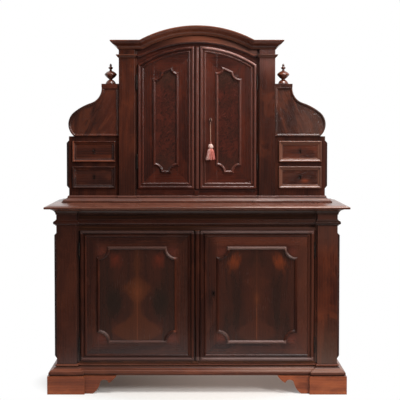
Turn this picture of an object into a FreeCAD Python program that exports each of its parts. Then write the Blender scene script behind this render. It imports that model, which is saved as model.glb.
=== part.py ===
import FreeCAD, Part
import math
import os

# A two-stage baroque cupboard in millimetres. It stands on z = 0, centred on x = 0, and its front looks along -Y.
# The base has two panelled doors. The set-back upper stage has a cabinet with two arched doors between two wings,
# each wing with two drawers under a scrolled box.

V = FreeCAD.Vector
UP = V(0, 0, 1)

# ---- driving dimensions: boards and gaps
TOP_WIDTH = 1681.0
DEPTH = 580.0
BACK = DEPTH / 2
FRONT = -DEPTH / 2
BOARD = 22.0
SIDE = 25.0
PLANK = 20.0
BREAK = 18.0
GAP = 1.5
TOUCH = 0.3

# ---- base stage, from the floor up
FOOT_TOP = 100.0
FOOT_OUT = 48.0
BASE_MOULD_TOP = 158.0
BASE_SILL = 172.0
BASE_HEAD = 905.0
WAIST_TOP = 965.0
BASE_TOP = 1026.0
WORKTOP = 1044.0
BASE_HALF = 780.0
BASE_PILASTER = 110.0
BASE_FACE = -212.0
BASE_SHELF = 540.0

# ---- upper stage, from the worktop up
PLINTH_TOP = 1082.0
UPPER_SILL = 1119.0
WING_SILL = 1123.0
DRAWER_DIVIDE = (1252.0, 1276.0)
WING_HEAD = 1399.0
WING_TOP = 1425.0
SCROLL_TOP = 1710.0
CAP_TOP = 1728.0
CAPITAL_TOP = 1895.0
EAVES = 1975.0
CROWN_TOP = 2057.0
UPPER_HALF = 450.0
UPPER_PILASTER = 90.0
UPPER_FACE = 8.0
WING_HALF = 741.0
WING_INNER = 472.0
WING_OUTER = 721.0
ROOF = 1950.0
UPPER_SHELVES = (1395.0, 1660.0)

# ---- the arches: half span and height at the springing and at the crown
ARCH_HALF = 327.0
CAPITAL_CROWN = 1974.0
DOOR_SPRING = 1838.0
DOOR_CROWN = 1943.0

# ---- doors: the outer edge of each frame moulding, the free edges, and the hinges
MOULD_FREE = 17.0
LOWER_MOULD = 650.0
UPPER_MOULD = 342.0
ACTIVE_EDGE = -11.0
PASSIVE_EDGE = 12.5
LEAF_BEYOND_MOULD = 3.5
AXIS_BEYOND_MOULD = 5.0
STILE_BEYOND_MOULD = 6.5
PANEL = 12.0
LOWER_FIELD = (116.5, 550.5, 278.5, 805.0)
LOWER_NOTCH = 60.0
LOWER_HINGES = (262.0, 793.0)
UPPER_HINGES = (1278.0, 1737.0)
HINGE_TALL = 80.0
BARREL_R = 4.3
PIN_R = 2.0
RUNNING_FIT = 0.05

# ---- locks, key and tassel
UPPER_KEY = (78.0, 1521.0)
LOWER_KEY = (91.0, 555.0)
LOCK_DEEP = 16.0
SHANK_R = 3.0
CORD_R = 2.2
CORD_Y = -27.0
CORD_ROUTE = ((78.0, CORD_Y, 1513.0), (77.0, CORD_Y, 1447.0), (78.6, CORD_Y, 1379.0))
TASSEL_LOW = 1285.0

# ---- mouldings, drawn as (down from the top edge, out from the face); a pair of points is an arc by way of the first
CROWN = [(0, 0), (0, 47), (7, 47), (9, 44), ((17, 37), (25, 26)), ((33, 14), (44, 7)), (50, 5), (50, 0)]
CAPITAL = [(0, 0), (0, 15), (5, 15), (6, 13), ((11, 10), (17, 3)), (20, 2), (20, 0)]
PLINTH = [(0, 0), (0, 4), ((2, 7), (4, 8)), (10, 8), ((14, 13), (20, 24)), ((24, 31), (30, 34)), (32, 38), (38, 38),
          (38, 0)]
NOSING = [(0, 0), ((3.5, 9), (5, 16)), (5, 20.5), ((6.3, 23.7), (9.5, 25)), (14, 25), ((16.8, 23.8), (18, 21)),
          (18, 0)]
COVE = [(0, 0), (0, 28), (4, 28), ((12, 13), (28, 4)), (33, 4), (33, 0)]
WAIST = [(0, 0), (0, 3), (6, 5), ((17, 16), (28, 5)), (33, 5), (33, 0)]
BASE = [(0, 0), (0, 4), ((1.5, 8), (5, 9)), ((8.5, 8), (10, 4)), (13, 3), (15, 12), ((22, 17), (27, 26)),
        ((31, 34), (37, 38)), (39, 42), (52, 42), (52, 37), (58, 37), (58, 0)]

# ---- mouldings laid on a flat face, drawn as (inward from the path, out from the face)
DOOR_FRAME = [(0, 0), (0, 9), ((3, 13), (8, 14)), ((13.5, 12), (15.5, 6)), (16.5, 2), (22, 2), (24, 4),
              ((27.5, 6.5), (31, 4)), (33, 2), (35, 1), (35, 0)]
FIELD_BEAD = [(-8.5, 0), (-8.5, 2.5), ((-6, 4), (-4.5, 7)), ((0, 9.5), (4.5, 7)), ((6, 4), (8.5, 2.5)), (8.5, 0)]
DRAWER_BEAD = [(0, 0), (0, 6), ((1.5, 9), (4.5, 9.5)), ((7, 9), (8.5, 6.5)), ((13, 3.5), (20, 2)), (22, 1.5), (22, 0)]
SCROLL_BEAD = [(0, 0), (0, 4), ((2, 7), (5, 7)), ((9, 6), (11, 3)), (14, 2), (14, 0)]


# ---- drawing
def block(x, y, z):
    """A box from three (low, high) pairs."""
    return Part.makeBox(x[1] - x[0], y[1] - y[0], z[1] - z[0], V(x[0], y[0], z[0]))


def wire(steps, place):
    """A closed wire. place turns a drawn point into a vector; a step of two points is an arc by way of the first."""
    edges = []
    first = here = place(*steps[0])
    for step in steps[1:]:
        if isinstance(step[0], tuple):
            end = place(*step[1])
            edges.append(Part.Arc(here, place(*step[0]), end).toShape())
        else:
            end = place(*step)
            edges.append(Part.LineSegment(here, end).toShape())
        here = end
    if here.distanceToPoint(first) > 1e-6:
        edges.append(Part.LineSegment(here, first).toShape())
    return Part.Wire(edges)


def flat(u, v):
    return V(u, v, 0)


def mapped(steps, change):
    """A drawn outline with every point changed."""
    return [tuple(map(change, step)) if isinstance(step[0], tuple) else change(step) for step in steps]


def points_of(steps):
    return [pair for step in steps for pair in (step if isinstance(step[0], tuple) else (step,))]


def upright(steps, y):
    """A board cut to an outline drawn in x and z, between two depths."""
    face = Part.Face(wire(steps, lambda x, z: V(x, y[0], z)))
    return face.extrude(V(0, y[1] - y[0], 0))


def mirrored(shapes):
    return [shape.mirror(V(0, 0, 0), V(1, 0, 0)) for shape in shapes]


def arch_height(x, radius, crown):
    return crown - radius + math.sqrt(radius**2 - x**2)


def arch_radius(half, rise):
    return (half**2 + rise**2) / (2 * rise)


# ---- mouldings run along a path
def legs_of(steps):
    """Straight and round legs of a path: start, end, centre and turn, which is 0 when straight."""
    legs = []
    here = flat(*steps[0])
    for step in steps[1:]:
        centre = None
        turn = 0
        if isinstance(step[0], tuple):
            middle = flat(*step[0])
            end = flat(*step[1])
            centre = Part.Arc(here, middle, end).toShape().Curve.Center
            turn = 1 if (middle - here).cross(end - middle).z > 0 else -1
        else:
            end = flat(*step)
        legs.append((here, end, centre, turn))
        here = end
    return legs


def heading(leg, point):
    start, end, centre, turn = leg
    way = V(end - start) if centre is None else UP.cross(point - centre) * turn
    return way.normalize()


def section_face(section, point, way):
    """The section stood across the way, u to its right and v up."""
    right = way.cross(UP)
    return Part.Face(wire(section, lambda u, v: point + right * u + UP * v))


def leg_solid(leg, section, spare):
    """One leg with the section carried along it, spare longer at each end for the mitres."""
    start, end, centre, turn = leg
    way = heading(leg, start)
    if centre is None:
        face = section_face(section, start - way * spare, way)
        return face.extrude(way * ((end - start).Length + 2 * spare))
    arm = start - centre
    sweep = (turn * (math.atan2(end.y - centre.y, end.x - centre.x) - math.atan2(arm.y, arm.x))) % (2 * math.pi)
    lead = spare / max(arm.Length - spare, spare)
    back = FreeCAD.Rotation(UP, math.degrees(-turn * lead))
    face = section_face(section, centre + back.multVec(arm), back.multVec(way))
    return face.revolve(centre, UP * turn, math.degrees(sweep + 2 * lead))


def trimmed(solid, point, normal, reach):
    """Cuts off what lies behind a plane through the point, within reach of it."""
    waste = Part.makeBox(2 * reach, 2 * reach, 2 * reach, V(-reach, -reach, -2 * reach))
    waste.Placement = FreeCAD.Placement(point, FreeCAD.Rotation(UP, normal))
    return solid.cut(waste)


def run(steps, section, start_plane=None, end_plane=None):
    """A moulding as separate mitred lengths. A path that comes back to its start is mitred there too."""
    legs = legs_of(steps)
    wide = max(abs(u) for u, v in points_of(section))
    tall = max(abs(v) for u, v in points_of(section))
    spare = wide + 2
    reach = max(3 * spare, 1.2 * tall)
    closed = legs[0][0].distanceToPoint(legs[-1][1]) < 1e-6
    lengths = []
    for number, leg in enumerate(legs):
        start, end = leg[0], leg[1]
        before = legs[number - 1] if number or closed else None
        after = legs[(number + 1) % len(legs)] if number + 1 < len(legs) or closed else None
        first = start_plane if before is None else (heading(before, start) + heading(leg, start)).normalize()
        last = end_plane if after is None else (heading(leg, end) + heading(after, end)).normalize() * -1
        solid = leg_solid(leg, section, spare)
        solid = trimmed(solid, start, first or heading(leg, start), reach)
        solid = trimmed(solid, end, last or heading(leg, end) * -1, reach)
        lengths.append(solid)
    return lengths


def around(steps, section, top):
    """A moulding carried round the case at one height; the path keeps the case on its left."""
    lengths = run(steps, mapped(section, lambda pair: (pair[1], -pair[0])))
    for solid in lengths:
        solid.translate(UP * top)
    return lengths


def laid(steps, section, y, start_plane=None, end_plane=None):
    """A moulding laid on a front face at depth y; the path is drawn in x and z, seen from the front."""
    lengths = run(steps, section, start_plane, end_plane)
    for solid in lengths:
        solid.rotate(V(0, 0, 0), V(1, 0, 0), 90)
        solid.translate(V(0, y, 0))
    return lengths


def stage_path(half, pilaster, face):
    """Plan of a stage from its back left corner to its back right one, with a break round each pilaster."""
    inner = half - pilaster
    return [(-half, BACK), (-half, face - BREAK), (-inner, face - BREAK), (-inner, face),
            (inner, face), (inner, face - BREAK), (half, face - BREAK), (half, BACK)]


def raised_field(x, y, z, bevel):
    """A fielded board on a side, bevelled round its outer face, which is at x[1]."""
    board = block(x, y, z)
    rim = [edge for edge in board.Edges if all(abs(vertex.X - x[1]) < 1e-6 for vertex in edge.Vertexes)]
    return board.makeChamfer(bevel, rim)


def planks(x, y, z, count):
    """Upright back boards, a hair apart."""
    wide = (x[1] - x[0]) / count
    return [block((x[0] + wide * n + TOUCH, x[0] + wide * (n + 1) - TOUCH), y, z) for n in range(count)]


# ---- base stage
BRACKET = [(453, 100), ((468, 80), (496, 60)), ((521, 78), (545, 56)), ((559, 25), (585, 0)), (628, 0), (628, 100)]
SIDE_WING = 0.7


def bracket_board(length, thick, depth, stretch=1.0):
    """The fretted wing of a foot, running out of its block at x = length, its face at depth."""
    root = BRACKET[-1][0]
    steps = mapped(BRACKET, lambda pair: (length + (pair[0] - root) * stretch, pair[1]))
    return upright(steps, (depth, depth + thick))


def front_foot():
    """Right front foot: two boards make the block, with a fretted wing each way and a glue block in the corner."""
    out = FOOT_OUT
    thick = 36.0
    wing = 24.0
    corner = BASE_HALF + out
    inner = BASE_HALF - BASE_PILASTER - out
    face = BASE_FACE - BREAK - out
    block_end = -150.0
    front_block = block((inner, corner), (face, face + thick), (0, FOOT_TOP))
    side_block = block((corner - thick, corner), (face + thick, block_end), (0, FOOT_TOP))
    front_wing = bracket_board(inner, wing, BASE_FACE - out)
    side_wing = bracket_board(0, wing, 0, SIDE_WING)
    side_wing.rotate(V(0, 0, 0), UP, -90)
    side_wing.translate(V(corner - BREAK - wing, block_end, 0))
    glue_block = block((corner - thick - 60, corner - thick), (face + thick, face + thick + 60), (0, FOOT_TOP))
    return [front_block, side_block, front_wing, side_wing, glue_block]


def rear_foot():
    """Right rear foot: a side block and its wing, with a square post behind the back boards."""
    out = FOOT_OUT
    thick = 36.0
    wing = 24.0
    corner = BASE_HALF + out
    block_start = 190.0
    side_block = block((corner - thick, corner), (block_start, BACK), (0, FOOT_TOP))
    side_wing = bracket_board(0, wing, 0, SIDE_WING)
    side_wing.rotate(V(0, 0, 0), UP, 90)
    side_wing.translate(V(corner - BREAK, block_start, 0))
    post = block((corner - thick - 60, corner - thick), (BACK - 60, BACK), (0, FOOT_TOP))
    return [side_block, side_wing, post]


def base_side():
    """Right side board with its fielded panel."""
    board = block((BASE_HALF - SIDE, BASE_HALF), (BASE_FACE + BOARD, BACK), (FOOT_TOP, BASE_TOP))
    field = raised_field((BASE_HALF, BASE_HALF + 24), (-165, 245), (172, 885), 15)
    return [board, field]


def base_pilaster():
    """Right front stile with the pilaster planted on it."""
    stile = block((LOWER_MOULD + STILE_BEYOND_MOULD, BASE_HALF), (BASE_FACE, BASE_FACE + BOARD), (FOOT_TOP, BASE_TOP))
    shaft = block((BASE_HALF - BASE_PILASTER, BASE_HALF), (BASE_FACE - BREAK, BASE_FACE), (FOOT_TOP, BASE_TOP))
    return [stile, shaft]


def base_rails():
    """Sill and frieze rails, and the stop block under the meeting of the doors."""
    reach = LOWER_MOULD + STILE_BEYOND_MOULD
    depth = (BASE_FACE, BASE_FACE + BOARD)
    sill = block((-reach, reach), depth, (FOOT_TOP, BASE_SILL))
    frieze = block((-reach, reach), depth, (BASE_HEAD, BASE_TOP))
    stop = block((-26, 6), (BASE_FACE - 10, BASE_FACE), (BASE_MOULD_TOP + 1, BASE_SILL - 1))
    return [sill, frieze, stop]


def base_shelves():
    inside = BASE_HALF - SIDE
    depth = (BASE_FACE + BOARD, BACK - PLANK)
    bottom = block((-inside, inside), depth, (BASE_SILL - BOARD, BASE_SILL))
    shelf = block((-inside, inside), (depth[0] + 40, depth[1]), (BASE_SHELF, BASE_SHELF + 18))
    dust_board = block((-inside, inside), depth, (BASE_TOP - 18, BASE_TOP))
    return [bottom, shelf, dust_board]


def worktop():
    """The slab and the moulded nosing mitred round three sides."""
    nose = 25.0
    half = TOP_WIDTH / 2 - nose
    slab = block((-half, half), (FRONT + nose, BACK), (BASE_TOP, WORKTOP))
    edge = [(-half, BACK), (-half, FRONT + nose), (half, FRONT + nose), (half, BACK)]
    return [slab] + around(edge, NOSING, WORKTOP)


# ---- upper stage
def upper_pilaster():
    """Right stile and pilaster of the cabinet."""
    stile = block((UPPER_MOULD + STILE_BEYOND_MOULD, UPPER_HALF), (UPPER_FACE, UPPER_FACE + BOARD), (WORKTOP, EAVES))
    shaft = block((UPPER_HALF - UPPER_PILASTER, UPPER_HALF), (UPPER_FACE - BREAK, UPPER_FACE),
                  (WORKTOP, EAVES - CROWN[-1][0]))
    return [stile, shaft]


def upper_side():
    side = block((UPPER_HALF - SIDE, UPPER_HALF), (UPPER_FACE + BOARD, BACK), (WORKTOP, EAVES))
    return [side]


def upper_bottom_rail():
    """Rail under the arched doors, with the small stop block at their meeting."""
    reach = UPPER_MOULD + STILE_BEYOND_MOULD
    rail = block((-reach, reach), (UPPER_FACE, UPPER_FACE + BOARD), (WORKTOP, UPPER_SILL))
    stop = block((-14, 10), (UPPER_FACE - 8, UPPER_FACE), (PLINTH_TOP + 2, UPPER_SILL - 8))
    return [rail, stop]


def crown_line(half):
    """The top line of the arched head: level ends and a segmental arch between them."""
    return [(-half, EAVES), (-ARCH_HALF, EAVES), ((0, CROWN_TOP), (ARCH_HALF, EAVES)), (half, EAVES)]


def arched_head():
    """The board over the doors: its lower edge clears their arch and its upper edge follows the crown."""
    reach = UPPER_MOULD + STILE_BEYOND_MOULD
    radius = arch_radius(UPPER_MOULD, DOOR_CROWN - DOOR_SPRING) + 2 * GAP
    crown = DOOR_CROWN + 2 * GAP
    spring = arch_height(reach, radius, crown)
    steps = [(-reach, spring), ((0, crown), (reach, spring)), (reach, EAVES), (ARCH_HALF, EAVES),
             ((0, CROWN_TOP), (-ARCH_HALF, EAVES)), (-reach, EAVES)]
    board = upright(steps, (UPPER_FACE, UPPER_FACE + BOARD))
    level = UPPER_HALF - UPPER_PILASTER - CAPITAL[1][1]
    line = [(-level, CAPITAL_TOP), (-ARCH_HALF, CAPITAL_TOP), ((0, CAPITAL_CROWN), (ARCH_HALF, CAPITAL_TOP)),
            (level, CAPITAL_TOP)]
    return [board] + laid(line, CAPITAL, UPPER_FACE)


def capitals():
    """The moulding at the head of each pilaster, from the back edge to the face frame."""
    front = UPPER_FACE - BREAK
    inner = UPPER_HALF - UPPER_PILASTER
    right = [(inner, UPPER_FACE), (inner, front), (UPPER_HALF, front), (UPPER_HALF, BACK)]
    lengths = around(right, CAPITAL, CAPITAL_TOP)
    return lengths + mirrored(lengths)


def cornice():
    """The crown moulding with its side returns, the ground board behind it, and the capitals below."""
    front = UPPER_FACE - BREAK
    face = laid(crown_line(UPPER_HALF), CROWN, front, V(1, 0, 1), V(-1, 0, 1))
    ground = laid(crown_line(UPPER_HALF), [(0, -BREAK), (0, 0), (CROWN[-1][0], 0), (CROWN[-1][0], -BREAK)], front)
    corner = [(UPPER_HALF, front - 100), (UPPER_HALF, BACK)]
    side = around(corner, CROWN, EAVES)[0]
    side = trimmed(side, V(UPPER_HALF, front, EAVES), V(1, 1, 0), 200)
    returns = [side] + mirrored([side])
    return face + ground + returns + capitals()


def upper_shelves():
    inside = UPPER_HALF - SIDE
    depth = (UPPER_FACE + BOARD, BACK - PLANK)
    bottom = block((-inside, inside), depth, (UPPER_SILL - BOARD, UPPER_SILL))
    shelves = [block((-inside, inside), (depth[0] + 40, depth[1]), (z, z + 18)) for z in UPPER_SHELVES]
    return [bottom] + shelves


def upper_roof():
    inside = UPPER_HALF - SIDE
    return [block((-inside, inside), (UPPER_FACE + BOARD, BACK - PLANK), (ROOF, ROOF + 18))]


def plinth_moulding():
    """Carried round the wings and broken round the cabinet's pilasters."""
    inner = UPPER_HALF - UPPER_PILASTER
    front = UPPER_FACE - BREAK
    left = [(-WING_HALF, BACK), (-WING_HALF, UPPER_FACE), (-UPPER_HALF, UPPER_FACE), (-UPPER_HALF, front),
            (-inner, front), (-inner, UPPER_FACE)]
    return around(left + [(-x, y) for x, y in reversed(left)], PLINTH, PLINTH_TOP)


# ---- wings
SCROLL = [(UPPER_HALF, WING_TOP), (UPPER_HALF, SCROLL_TOP), (551, SCROLL_TOP), ((567, 1651), (612, 1618)),
          ((667, 1594), (710, 1565)), ((743.5, 1494), (711, WING_TOP)), (UPPER_HALF, WING_TOP)]


def wing_case():
    """Right wing: two cheeks, three full boards that carry the drawers, the rail below and the back."""
    depth = (UPPER_FACE, BACK - PLANK)
    wide = (WING_INNER, WING_OUTER)
    outer = block((WING_OUTER, WING_HALF), (UPPER_FACE, BACK), (WORKTOP, WING_TOP))
    inner = block((UPPER_HALF, WING_INNER), (UPPER_FACE, BACK), (WORKTOP, WING_TOP))
    rail = block(wide, (UPPER_FACE, UPPER_FACE + BOARD), (WORKTOP, WING_SILL - BOARD))
    floor = block(wide, depth, (WING_SILL - BOARD, WING_SILL))
    divide = block(wide, depth, DRAWER_DIVIDE)
    top = block(wide, depth, (WING_HEAD, WING_TOP))
    back = block(wide, (BACK - PLANK, BACK), (WORKTOP, WING_TOP))
    field = raised_field((WING_HALF, WING_HALF + 21), (50, 245), (1123, 1399), 13)
    return [outer, inner, rail, floor, divide, top, back, field]


def scroll_box():
    """The closed scrolled box on a wing: front and back boards, the bent roof between them, its bead and its cap."""
    front = upright(SCROLL, (UPPER_FACE, UPPER_FACE + 18))
    back = upright(SCROLL, (BACK - 12, BACK))
    curve = SCROLL[2:6]
    span = BACK - 12 - UPPER_FACE - 18
    roof = laid(curve, [(0, 0), (9, 0), (9, span), (0, span)], BACK - 12, V(0, -1, 0), V(0, 1, 0))
    bead = laid(SCROLL, SCROLL_BEAD, UPPER_FACE)
    cap = block((UPPER_HALF, 551), (UPPER_FACE - 8, BACK), (SCROLL_TOP, CAP_TOP))
    return [front, back] + roof + bead + [cap]


def finial():
    """A turned finial: domed foot, neck, turnip bulb, and a button with a small knob on it."""
    x = 502.0
    y = 52.0
    profile = [(0, 0), (28, 0), ((29.5, 3), (28.5, 7)), ((21, 19), (10, 26)), (10, 29), ((20.5, 37), (32.5, 49.5)),
               ((35.5, 55.5), (32.5, 62)), ((24.5, 69), (14, 75)), ((8, 79), (5.5, 85)), ((9.5, 88.5), (13.5, 93)),
               ((14.3, 95), (13, 97)), ((8.5, 100), (5.5, 105)), ((7, 110), (4, 116)), (0, 120)]
    face = Part.Face(wire(profile, lambda r, z: V(x + r, y, CAP_TOP + z)))
    return [face.revolve(V(x, y, 0), UP, 360)]


# ---- drawers
def keyhole(x, z, y):
    """A round hole with a slot below it, through a board between two depths."""
    drop = 17.0
    half_slot = 2.5
    hole = Part.makeCylinder(SHANK_R + 0.6, y[1] - y[0], V(x, y[0], z), V(0, 1, 0))
    slot = block((x - half_slot, x + half_slot), y, (z - drop, z))
    return hole.fuse(slot)


def drawer_front(z):
    """Right wing drawer front with its bead, and its lock behind."""
    low = (WING_INNER + GAP / 2, z[0] + GAP / 2)
    high = (WING_OUTER - GAP / 2, z[1] - GAP / 2)
    middle = ((low[0] + high[0]) / 2, (low[1] + high[1]) / 2)
    depth = (UPPER_FACE, UPPER_FACE + BOARD)
    board = block((low[0], high[0]), depth, (low[1], high[1]))
    board = board.cut(keyhole(middle[0], middle[1] + 5, (depth[0] - 1, depth[1] + 1)))
    ring = [low, (low[0], high[1]), high, (high[0], low[1]), low]
    lock = block((middle[0] - 26, middle[0] + 26), (depth[1], depth[1] + 11), (middle[1] - 17, middle[1] + 36))
    return [board] + laid(ring, DRAWER_BEAD, UPPER_FACE) + [lock]


def drawer_box(z):
    """Sides, back and bottom of a drawer behind its front."""
    thick = 10.0
    slack = 1.5
    side_tall = 98.0
    low = z[0] + 1.0
    x = (WING_INNER + slack, WING_OUTER - slack)
    y = (UPPER_FACE + BOARD, 255.0)
    tall = (low, low + side_tall)
    left = block((x[0], x[0] + thick), y, tall)
    right = block((x[1] - thick, x[1]), y, tall)
    back = block((x[0] + thick, x[1] - thick), (y[1] - thick, y[1]), tall)
    bottom = block((x[0] + thick, x[1] - thick), (y[0], y[1] - thick), (low + 2, low + 9))
    return [left, right, back, bottom]


# ---- doors, drawn as the right-hand leaf of a pair
def lower_leaf(edge):
    z = (BASE_SILL + GAP, BASE_HEAD - GAP)
    hinge_edge = LOWER_MOULD + LEAF_BEYOND_MOULD
    return [(edge, z[0]), (hinge_edge, z[0]), (hinge_edge, z[1]), (edge, z[1])]


def lower_field():
    """Field outline with concave quarter rounds at the corners, run anticlockwise."""
    x0, x1, z0, z1 = LOWER_FIELD
    r = LOWER_NOTCH
    cut = r * math.sqrt(0.5)
    return [(x0 + r, z0), (x1 - r, z0), ((x1 - cut, z0 + cut), (x1, z0 + r)),
            (x1, z1 - r), ((x1 - cut, z1 - cut), (x1 - r, z1)),
            (x0 + r, z1), ((x0 + cut, z1 - cut), (x0, z1 - r)),
            (x0, z0 + r), ((x0 + cut, z0 + cut), (x0 + r, z0))]


def lower_ring():
    z = (BASE_SILL + GAP + 1, BASE_HEAD - GAP - 1)
    return [(MOULD_FREE, z[0]), (MOULD_FREE, z[1]), (LOWER_MOULD, z[1]), (LOWER_MOULD, z[0]), (MOULD_FREE, z[0])]


def door_arch(x, beyond):
    """Height at x of the door arch, carried a little beyond the moulding's own line."""
    radius = arch_radius(UPPER_MOULD, DOOR_CROWN - DOOR_SPRING) + beyond
    return arch_height(x, radius, DOOR_CROWN + beyond)


def upper_leaf(edge):
    low = UPPER_SILL + GAP
    hinge_edge = UPPER_MOULD + LEAF_BEYOND_MOULD
    middle = (edge + hinge_edge) / 2
    return [(edge, low), (hinge_edge, low), (hinge_edge, door_arch(hinge_edge, GAP)),
            ((middle, door_arch(middle, GAP)), (edge, door_arch(edge, GAP)))]


def upper_field():
    """Tall field: concave notches at its foot, and a slanting head that rises towards the middle of the cabinet."""
    return [(159, 1219), (204, 1219), ((217, 1250), (248, 1263)), (248, 1749), ((214, 1763), (200, 1793.5)),
            (150, 1815), ((139.7, 1795.3), (115, 1785)), (115, 1263), ((146, 1250), (159, 1219))]


def upper_ring():
    low = UPPER_SILL + GAP + 1
    middle = (MOULD_FREE + UPPER_MOULD) / 2
    return [(MOULD_FREE, low), (MOULD_FREE, door_arch(MOULD_FREE, 0)),
            ((middle, door_arch(middle, 0)), (UPPER_MOULD, DOOR_SPRING)), (UPPER_MOULD, low), (MOULD_FREE, low)]


def door_frame(leaf, field, face, holes):
    """Two stiles and two rails with the field cut out between them, and any keyhole bored."""
    depth = (face, face + BOARD)
    blank = upright(leaf, depth).cut(upright(field, depth))
    for hole in holes:
        blank = blank.cut(hole)
    corners = points_of(field)
    left = min(x for x, z in corners)
    right = max(x for x, z in corners)
    middle = sum(z for x, z in corners) / len(corners)
    bound = blank.BoundBox
    wide = (bound.XMin - 1, bound.XMax + 1)
    tall = (bound.ZMin - 1, bound.ZMax + 1)
    zones = [((wide[0], left), tall), ((right, wide[1]), tall),
             ((left, right), (tall[0], middle)), ((left, right), (middle, tall[1]))]
    return [blank.common(block(x, depth, z)) for x, z in zones]


def door_panel(field, face):
    """The field board, a hair smaller than the opening that its bead covers."""
    outline = Part.Face(wire(field, lambda x, z: V(x, face, z)))
    return [outline.makeOffset2D(-TOUCH).extrude(V(0, PANEL, 0))]


def meeting_bead(width, z, face):
    """The half-round cover strip on the free edge of the active leaf."""
    middle = ACTIVE_EDGE + width / 2
    steps = [(ACTIVE_EDGE, face), (ACTIVE_EDGE, face - 3), ((middle, face - 12), (ACTIVE_EDGE + width, face - 3)),
             (ACTIVE_EDGE + width, face)]
    return Part.Face(wire(steps, lambda x, y: V(x, y, z[0]))).extrude(UP * (z[1] - z[0]))


def ring_of(outer, inner, tall, at):
    return Part.makeCylinder(outer, tall, at).cut(Part.makeCylinder(inner, tall, at))


def hinge_parts(mould, face, middle):
    """One butt hinge of the right-hand leaf: its case side, its door side and its pin."""
    x = mould + AXIS_BEYOND_MOULD
    y = face - BARREL_R - 0.2
    low = middle - HINGE_TALL / 2
    knuckle = HINGE_TALL / 3
    plate = 1.2
    spring = y + 3.0
    deep = face + BOARD - 2
    ends = [low, low + 2 * knuckle + TOUCH]
    case_leaf = block((mould + STILE_BEYOND_MOULD - plate, mould + STILE_BEYOND_MOULD), (spring, deep),
                      (low, low + HINGE_TALL))
    case_leaf = case_leaf.cut(block((x - 5, x + 5), (y - 5, face + TOUCH), (low + knuckle - TOUCH, ends[1])))
    for z in ends:
        case_leaf = case_leaf.fuse(ring_of(BARREL_R, PIN_R, knuckle - TOUCH, V(x, y, z)))
    door_leaf = block((mould + LEAF_BEYOND_MOULD, mould + LEAF_BEYOND_MOULD + plate), (spring, deep),
                      (low, low + HINGE_TALL))
    for z in (low - 1, ends[1] - TOUCH):
        door_leaf = door_leaf.cut(block((x - 5, x + 5), (y - 5, face + TOUCH), (z, z + knuckle + 2 + TOUCH)))
    middle_ring = ring_of(BARREL_R, PIN_R + RUNNING_FIT, knuckle - TOUCH, V(x, y, low + knuckle))
    door_leaf = door_leaf.fuse(middle_ring)
    profile = [(0, -7), (2, -6), ((3.4, -3.5), (1.6, -1.4)), (3.6, -1), (3.6, 0), (PIN_R, 0), (PIN_R, HINGE_TALL),
               (3.6, HINGE_TALL), (3.6, HINGE_TALL + 1), (1.6, HINGE_TALL + 1.4),
               ((3.4, HINGE_TALL + 3.5), (2, HINGE_TALL + 6)), (0, HINGE_TALL + 7)]
    pin = Part.Face(wire(profile, lambda r, z: V(x + r, y, low + z))).revolve(V(x, y, 0), UP, 360)
    return case_leaf.removeSplitter(), door_leaf.removeSplitter(), pin


# ---- locks
def lock_case(key, back):
    """Box lock on the inner face of an active leaf: walls and a cover, open to the leaf and at the bolt's way out."""
    x, z = key
    wall = 3.0
    wide = (ACTIVE_EDGE + 4, x + 22)
    tall = (z - 21, z + 39)
    case = block(wide, (back, back + LOCK_DEEP), tall)
    hollow = block((wide[0] + wall, wide[1] - wall), (back, back + LOCK_DEEP - wall),
                   (tall[0] + wall, tall[1] - wall))
    way_out = block((wide[0] - 1, wide[0] + wall + 1), (back + 2.7, back + 11.3), (z + 17, z + 33))
    return case.cut(hollow).cut(way_out)


def lock_bolt(key, back):
    """The bolt, drawn back, above the sweep of the key's bit."""
    x, z = key
    return block((ACTIVE_EDGE + 2, x - 18), (back + 3, back + 11), (z + 17.3, z + 32.7))


def keeper(key, back):
    """The staple that takes the bolt, drawn on the right-hand passive leaf before it is mirrored."""
    z = key[1]
    case = block((17, 38), (back, back + LOCK_DEEP), (z + 12, z + 38))
    way_in = block((16, 39), (back, back + LOCK_DEEP - 3), (z + 16, z + 34))
    return case.cut(way_in)


def key():
    """Key in the upper door: bow, collar, shank and bit, on an axis along Y."""
    x, z = UPPER_KEY
    back = UPPER_FACE + BOARD
    neck = CORD_Y - 6
    shank = Part.makeCylinder(SHANK_R, back + 12.5 - neck, V(x, neck, z), V(0, 1, 0))
    collar = Part.makeCylinder(5, 4, V(x, CORD_Y + 5, z), V(0, 1, 0))
    bow = Part.makeTorus(10.5, 2.2, V(x, neck - 10, z), V(1, 0, 0))
    bit = block((x - 1.5, x + 1.5), (back + 2, back + 12), (z - 15, z))
    return [shank.fuse(collar).fuse(bow).fuse(bit).removeSplitter()]


def key_cord():
    """The cord: a loop round the key's neck and a nearly straight fall to the tassel."""
    points = [V(*point) for point in CORD_ROUTE]
    first = points[1] - points[0]
    second = points[2] - points[1]
    turn = first.getAngle(second)
    radius = 0.45 * min(first.Length, second.Length) / math.tan(turn / 2)
    inset = radius * math.tan(turn / 2)
    into = points[1] - V(first).normalize() * inset
    out = points[1] + V(second).normalize() * inset
    bend = (V(second).normalize() - V(first).normalize()).normalize()
    centre = points[1] + bend * (radius / math.cos(turn / 2))
    crest = centre - bend * radius
    path = Part.Wire([Part.LineSegment(points[0], into).toShape(), Part.Arc(into, crest, out).toShape(),
                      Part.LineSegment(out, points[2]).toShape()])
    end = Part.Wire(Part.Circle(points[0], first, CORD_R).toShape())
    fall = path.makePipeShell([end], True, False)
    print("cord fall", round(path.Length, 1), "mm, radius", round(radius), "mm, volume over section times length",
          round(fall.Volume / (math.pi * CORD_R**2 * path.Length), 4))
    x, z = UPPER_KEY
    loop = Part.makeTorus(SHANK_R + CORD_R + 0.6, CORD_R, V(x, CORD_Y, z - 0.4), V(0, 1, 0))
    return [loop.cut(block((x - 20, x + 20), (CORD_Y - 20, CORD_Y + 20), (0, CORD_ROUTE[0][2]))), fall]


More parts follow.
